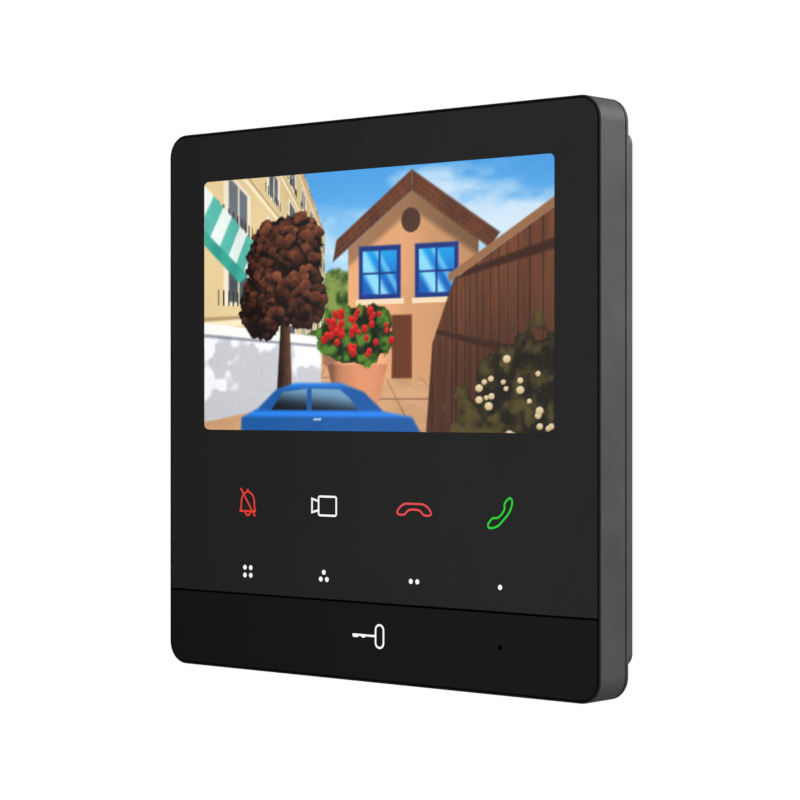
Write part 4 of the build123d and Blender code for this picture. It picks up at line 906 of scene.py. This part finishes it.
def street_picture(x, y):
    """The street as a door camera sees it, in display colours. x runs from 0 and y from 0 to 1."""
    picture = sky(x, y)
    for layer in BACK_TO_FRONT:
        picture = layer(picture, x, y)
    grain = np.random.default_rng(99).normal(0.0, 0.008, x.shape)
    corner = np.hypot((x - x.max() / 2) / x.max(), y - 0.5)
    picture = picture * (1.03 - 0.10 * corner**2)[..., None] + grain[..., None]
    return np.clip(picture, 0.0, 1.0)


def linear_light(colour):
    """Display colours made linear: a straight start, then a power curve."""
    return np.where(colour <= 0.04045, colour / 12.92, ((colour + 0.055) / 1.055) ** 2.4)


# ---------------------------------------------------------------- surfaces
def quads(rows, columns, wrap_rows=False, wrap_columns=False):
    """The corners of each cell in a grid of points kept row by row, joined end to start where it wraps."""
    row, column = np.meshgrid(
        np.arange(rows if wrap_rows else rows - 1),
        np.arange(columns if wrap_columns else columns - 1),
        indexing="ij",
    )
    row, below, beside = row * columns, (row + 1) % rows * columns, (column + 1) % columns
    return np.stack((row + column, row + beside, below + beside, below + column), -1).reshape(-1, 4)


def new_piece(name, points, faces, material, body):
    """A mesh object at the origin, with its place in its points, that rides on a body."""
    mesh = bpy.data.meshes.new(name)
    mesh.from_pydata(np.asarray(points).tolist(), [], [list(face) for face in faces])
    mesh.materials.append(material)
    mesh.validate()
    piece = bpy.data.objects.new(name, mesh)
    bpy.context.scene.collection.objects.link(piece)
    if body:
        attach(piece, body)
    return piece


def rounded_sheet(u, v, width, height, corner):
    """Points of a rounded rectangle for u and v from -1 to 1.

    v goes straight up the height. The half width is the full one, less the corner, plus the corner's circle:
    the root of its radius squared less the square of how far the point is into the corner.
    """
    z = v * height / 2
    into = np.clip(np.abs(z) - (height / 2 - corner), 0.0, corner)
    half = width / 2 - corner + np.sqrt(corner**2 - into**2)
    return u * half, z


def display_lens():
    """The lens with the lit picture: a fine flat front, its edge, the flange behind the panel and its back.

    The front is a grid on a rounded rectangle. Its rim runs back as rings, each the same outline grown by a
    given amount and set at a given depth, and a fan closes the back.
    """
    columns, rows = LENS_GRID
    width = WINDOW_HIGH.x - WINDOW_LOW.x - 2 * FLANGE
    height = WINDOW_HIGH.z - WINDOW_LOW.z - 2 * FLANGE
    middle = (WINDOW_LOW.z + WINDOW_HIGH.z) / 2
    u, v = np.meshgrid(np.linspace(-1, 1, columns), np.linspace(-1, 1, rows))
    x, z = rounded_sheet(u, v, width, height, WINDOW_CORNER)
    front = np.stack((x, np.full_like(x, FACE), z + middle), -1).reshape(-1, 3)
    index = np.arange(rows * columns).reshape(rows, columns)
    rim = np.concatenate((index[0, :-1], index[:-1, -1], index[-1, :0:-1], index[:0:-1, 0]))
    rim_u, rim_v = u.ravel()[rim], v.ravel()[rim]
    points, faces = [front], [quads(rows, columns)]
    last, count = rim, len(front)
    step = WINDOW_HIGH.y - FLANGE_THICKNESS
    for grow, depth in ((0.0, step), (FLANGE, step), (FLANGE, WINDOW_HIGH.y)):
        ring_x, ring_z = rounded_sheet(rim_u, rim_v, width + 2 * grow, height + 2 * grow, WINDOW_CORNER)
        points.append(np.stack((ring_x, np.full_like(ring_x, depth), ring_z + middle), -1))
        ring = np.arange(count, count + len(rim))
        faces.append(np.stack((last, ring, np.roll(ring, -1), np.roll(last, -1)), -1))
        last, count = ring, count + len(rim)
    points.append(np.array([[0.0, WINDOW_HIGH.y, middle]]))
    fan = np.stack((last, np.full_like(last, count), np.roll(last, -1)), -1)
    faces = np.concatenate(faces).tolist() + fan.tolist()
    lens = new_piece("display_lens", np.concatenate(points), faces, lit_picture(), "monitor")
    picture = street_picture((x + width / 2) / height, z / height + 0.5)
    colours = np.zeros((len(lens.data.vertices), 4), np.float32)
    colours[:, 3] = 1.0
    colours[: len(front), :3] = linear_light(picture).reshape(-1, 3)
    colours[len(front) : len(front) + len(rim), :3] = colours[rim, :3]
    layer = lens.data.color_attributes.new("picture", "FLOAT_COLOR", "POINT")
    layer.data.foreach_set("color", colours.ravel())
    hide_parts("display_window")
    return lens


def smooth_line(points, closed=False, steps=8):
    """A soft curve through points.

    Between two points it is the cubic whose direction at each is half the step from the point before to the
    point after.
    """
    points = np.asarray(points, float)
    before, after = np.roll(points, 1, 0), np.roll(points, -1, 0)
    if not closed:
        before[0], after[-1] = points[0], points[-1]
    slope = (after - before) / 2
    t = np.linspace(0, 1, steps, endpoint=False)[None, :, None]
    start, end = points[:, None], np.roll(points, -1, 0)[:, None]
    leave, arrive = slope[:, None], np.roll(slope, -1, 0)[:, None]
    curve = start * (2 * t**3 - 3 * t**2 + 1) + end * (3 * t**2 - 2 * t**3)
    curve += leave * (t**3 - 2 * t**2 + t) + arrive * (t**3 - t**2)
    if closed:
        return curve.reshape(-1, 2)
    return np.concatenate((curve[:-1].reshape(-1, 2), points[-1:]))


def rounded_box(centre, half_width, half_height, corner, steps=8):
    """A closed rounded rectangle: a quarter circle about each corner's centre."""
    line = []
    for quarter, (sx, sz) in enumerate(((1, 1), (-1, 1), (-1, -1), (1, -1))):
        turn = (quarter + np.linspace(0, 1, steps)) * pi / 2
        x = centre[0] + sx * (half_width - corner) + corner * np.cos(turn)
        z = centre[1] + sz * (half_height - corner) + corner * np.sin(turn)
        line.append(np.stack((x, z), -1))
    return np.concatenate(line)


def stroke(line, width, closed=False):
    """Points and faces of a raised printed line: a flat bar section carried along a line in millimetres.

    At each point the section stands square to the mean of the directions before and after, wider by one
    over the cosine of half the turn, so the bar keeps its width round a corner. Beyond the ends of an open
    line the half width falls as the root of the end's radius squared less the distance squared, which makes
    them round.
    """
    line = np.asarray(line, float)
    radius = width / 2
    half = np.full(len(line), radius)
    if not closed:
        turn = np.linspace(0, 0.96 * pi / 2, 6)[1:]
        first, last = line[0] - line[1], line[-1] - line[-2]
        first, last = first / np.hypot(*first), last / np.hypot(*last)
        out = radius * np.sin(turn)[:, None]
        line = np.concatenate(((line[0] + out * first)[::-1], line, line[-1] + out * last))
        half = np.concatenate((radius * np.cos(turn)[::-1], half, radius * np.cos(turn)))
    ahead = np.roll(line, -1, 0) - line
    ahead /= np.maximum(np.hypot(*ahead.T), 1e-9)[:, None]
    behind = np.roll(ahead, 1, 0)
    if not closed:
        ahead[-1], behind[0] = behind[-1], ahead[0]
    mean = ahead + behind
    mean /= np.maximum(np.hypot(*mean.T), 1e-9)[:, None]
    reach = half / np.maximum((mean * ahead).sum(1), 0.45)
    square = np.stack((-mean[:, 1], mean[:, 0]), -1) * reach[:, None]
    left, right = line + square, line - square
    front, back = np.full(len(line), FACE - PRINT_RISE), np.full(len(line), FACE + PRINT_SINK)
    corners = [
        np.stack((side[:, 0] * MM, depth, side[:, 1] * MM), -1)
        for side, depth in ((left, front), (right, front), (right, back), (left, back))
    ]
    points = np.stack(corners, 1).reshape(-1, 3)
    faces = quads(len(line), 4, closed, True)[:, ::-1].tolist()
    if not closed:
        end = len(points) - 4
        faces += [[0, 1, 2, 3], [end + 3, end + 2, end + 1, end]]
    return points, faces


def dot(centre, diameter, steps=24):
    """Points and faces of a printed dot: a thin round plate, its radius turned through a circle."""
    turn = np.arange(steps) * 2 * pi / steps
    x, z = centre[0] + diameter / 2 * np.cos(turn), centre[1] + diameter / 2 * np.sin(turn)
    depths = (FACE - PRINT_RISE, FACE + PRINT_SINK)
    points = [np.stack((x * MM, np.full(steps, depth), z * MM), -1) for depth in depths]
    ring = np.arange(steps)
    side = np.stack((ring, ring + steps, (ring + 1) % steps + steps, (ring + 1) % steps), -1)
    return np.concatenate(points), side.tolist() + [ring.tolist(), (ring[::-1] + steps).tolist()]


def print_piece(name, parts, place, material, body):
    """Joins strokes and dots into one piece of print, moved to its place in millimetres."""
    points, faces, count = [], [], 0
    for part_points, part_faces in parts:
        points.append(part_points + np.array([place[0] * MM, 0.0, place[1] * MM]))
        faces += [[corner + count for corner in face] for face in part_faces]
        count += len(part_points)
    return new_piece(name, np.concatenate(points), faces, material, body)


def bell_lines():
    """A bell with its clapper, crossed out."""
    side = [(-2.22, -1.68), (-2.00, -0.95), (-1.93, 0.0), (-1.80, 1.0), (-1.25, 1.95), (0.0, 2.62)]
    dome = smooth_line(side)
    outline = np.concatenate((dome, (dome * (-1, 1))[-2::-1]))
    turn = np.linspace(pi, 2 * pi, 13)
    clapper = np.stack((0.75 * np.cos(turn), -1.75 + 0.80 * np.sin(turn)), -1)
    return [
        stroke(outline, STROKE, closed=True),
        stroke([(0.0, 2.6), (0.0, 2.95)], STROKE),
        stroke(clapper, STROKE),
        stroke([(-2.05, 3.10), (2.05, -2.65)], STROKE),
    ]


def camera_lines():
    """A video camera: a rounded body and a flared lens."""
    lens = [(-1.47, 1.0), (-3.33, 1.5), (-3.33, -1.35), (-1.47, -0.85)]
    return [stroke(rounded_box((1.0, 0.05), 2.48, 1.97, 0.4), STROKE, closed=True), stroke(lens, STROKE)]


def hang_up_lines():
    """A handset lying down."""
    half = [(0.0, 1.18), (2.33, 1.13), (3.5, 0.6), (4.35, -0.25), (4.45, -0.75), (3.9, -1.08), (2.75, -1.05),
            (2.2, -0.75), (1.83, -0.4), (1.17, -0.05), (0.0, 0.03)]
    line = half + [(-x, z) for x, z in half[-2:0:-1]]
    return [stroke(smooth_line(line, closed=True), STROKE, closed=True)]


def answer_lines():
    """A handset held up."""
    line = [(2.5, 3.0), (3.0, 2.33), (2.75, 1.17), (2.0, -0.17), (0.83, -1.33), (-0.5, -2.5), (-1.83, -2.97),
            (-2.83, -2.92), (-2.97, -2.25), (-2.5, -1.67), (-1.83, -1.05), (-0.67, -0.95), (0.17, -0.42),
            (0.83, 0.33), (1.13, 1.0), (1.08, 1.75), (1.67, 2.5)]
    return [stroke(smooth_line(line, closed=True), 0.93 * STROKE, closed=True)]


def key_lines():
    """A key lying down: a long ring, a shank and two bits."""
    return [
        stroke(rounded_box((3.07, 0.03), 1.07, 2.33, 1.05, 12), STROKE, closed=True),
        stroke([(-4.1, 0.03), (1.9, 0.03)], 0.45),
        stroke([(-4.0, -0.22), (-3.0, -0.22)], 0.50),
        stroke([(-1.62, -0.22), (-1.12, -0.22)], 0.50),
    ]


def key_symbols():
    """The four lit symbols, the dots under them and the key on the bar."""
    row = (CONTACTS_LOW.z + CONTACTS_HIGH.z) / 2 / MM
    columns = [(CONTACTS_LOW.x / MM + KEY_CELL / 2) * side for side in (1, -1)]
    outer, inner = abs(columns[0]), INNER_COLUMN
    symbols = (
        ("symbol_mute", bell_lines(), -outer, BELL_RED),
        ("symbol_camera", camera_lines(), -inner, SYMBOL_WHITE),
        ("symbol_hang_up", hang_up_lines(), inner, HANG_UP_RED),
        ("symbol_answer", answer_lines(), outer, ANSWER_GREEN),
    )
    for name, lines, x, colour in symbols:
        print_piece(name, lines, (x, row), lit_print(name.replace("symbol", "lit"), colour), "monitor")
    white = lit_print("lit_white", SYMBOL_WHITE)
    half_x, half_z = 0.86, 0.82
    groups = (
        ("dots_four", -outer, [(-half_x, half_z), (half_x, half_z), (-half_x, -half_z), (half_x, -half_z)]),
        ("dots_three", -inner, [(0.0, half_z), (-half_x, -half_z + 0.18), (half_x, -half_z + 0.18)]),
        ("dots_two", inner, [(-half_x, 0.1), (half_x, 0.1)]),
        ("dots_one", outer, [(0.0, 0.05)]),
    )
    for name, x, centres in groups:
        print_piece(name, [dot(centre, DOT) for centre in centres], (x, row - DOTS_BELOW), white, "monitor")
    bar_middle = (BAR_LOW.z + BAR_HIGH.z) / 2 / MM
    print_piece("symbol_key", key_lines(), (0.0, bar_middle + KEY_ABOVE), white, "unlock_bar")


# ---------------------------------------------------------------- stage, light and camera
def pale_floor():
    """A round pale floor under the object, faded out at its rim: rings of points and a fan in the middle."""
    rings, steps = 12, 72
    radius = np.linspace(0.0, FLOOR_RADIUS, rings + 1)[1:]
    turn = np.arange(steps) * 2 * pi / steps
    spokes = np.stack((np.cos(turn), np.sin(turn)), -1)
    around = (radius[:, None, None] * spokes[None]).reshape(-1, 2)
    level = cad_box[0].z - FLOOR_DROP
    points = np.concatenate((np.column_stack((around, np.full(len(around), level))), [[0.0, 0.0, level]]))
    ring = np.arange(steps)
    fan = np.stack((ring, (ring + 1) % steps, np.full(steps, rings * steps)), -1)
    faces = quads(rings, steps, wrap_columns=True)[:, ::-1].tolist() + fan.tolist()
    material, tree, shader = finish("pale_floor")
    where = tree.place()
    cloud = tree.noise(where, 0.09, 3.0)
    tree.put(shader["Base Color"], tree.mix(cloud, (0.80, 0.80, 0.80), (0.84, 0.84, 0.84)))
    tree.put(shader["Roughness"], tree.span(cloud, 0.3, 0.7, 0.55, 0.7))
    away = tree.add("VectorMath", {0: where, 1: (1.0, 1.0, 0.0)}, operation="MULTIPLY").outputs[0]
    length = tree.add("VectorMath", {0: away}, operation="LENGTH").outputs["Value"]
    faded = tree.span(length, 0.35 * FLOOR_RADIUS, 0.98 * FLOOR_RADIUS)
    tree.put(shader["Alpha"], tree.math("SUBTRACT", 1.0, faded))
    floor = new_piece("floor", points, faces, material, None)


def studio_surround():
    """A white surround to the camera, and a much dimmer grey one to everything else."""
    world = bpy.data.worlds.new("studio")
    bpy.context.scene.world = world
    world.use_nodes = True
    world.node_tree.nodes.clear()
    tree = Tree(world.node_tree)
    seen = tree.add("LightPath").outputs["Is Camera Ray"]
    white = tree.add("Background", {"Color": (1.0, 1.0, 1.0), "Strength": 1.0}).outputs[0]
    grey = tree.add("Background", {"Color": (1.0, 1.0, 1.0), "Strength": SURROUND}).outputs[0]
    both = tree.add("MixShader", {0: seen, 1: grey, 2: white}).outputs[0]
    tree.put(tree.add("OutputWorld").inputs["Surface"], both)


def softbox(name, place, size, strength):
    """A rectangular soft light that faces the object."""
    light = bpy.data.lights.new(name, "AREA")
    light.shape = "RECTANGLE"
    light.size, light.size_y = size
    light.energy = strength
    lamp = bpy.data.objects.new(name, light)
    lamp.location = place
    lamp.rotation_euler = (Vector(AIM) - Vector(place)).to_track_quat("-Z", "Y").to_euler()
    lamp.visible_camera = False
    bpy.context.scene.collection.objects.link(lamp)


def add_camera():
    """The viewer stands level with the middle of the face, to its right."""
    data = bpy.data.cameras.new("viewer")
    data.sensor_width = 36.0
    data.lens = LENS
    data.clip_start = 0.01
    viewer = bpy.data.objects.new("viewer", data)
    azimuth = radians(AZIMUTH)
    viewer.location = Vector(AIM) + DISTANCE * Vector((sin(azimuth), -cos(azimuth), 0.0))
    viewer.rotation_euler = (pi / 2, 0.0, azimuth)
    bpy.context.scene.collection.objects.link(viewer)
    bpy.context.scene.camera = viewer
    bpy.context.scene.view_settings.view_transform = "Standard"


add_camera()
studio_surround()
pale_floor()
for box_light in SOFTBOXES:
    softbox(*box_light)
dress_outside()
dress_inside()
display_lens()
key_symbols()
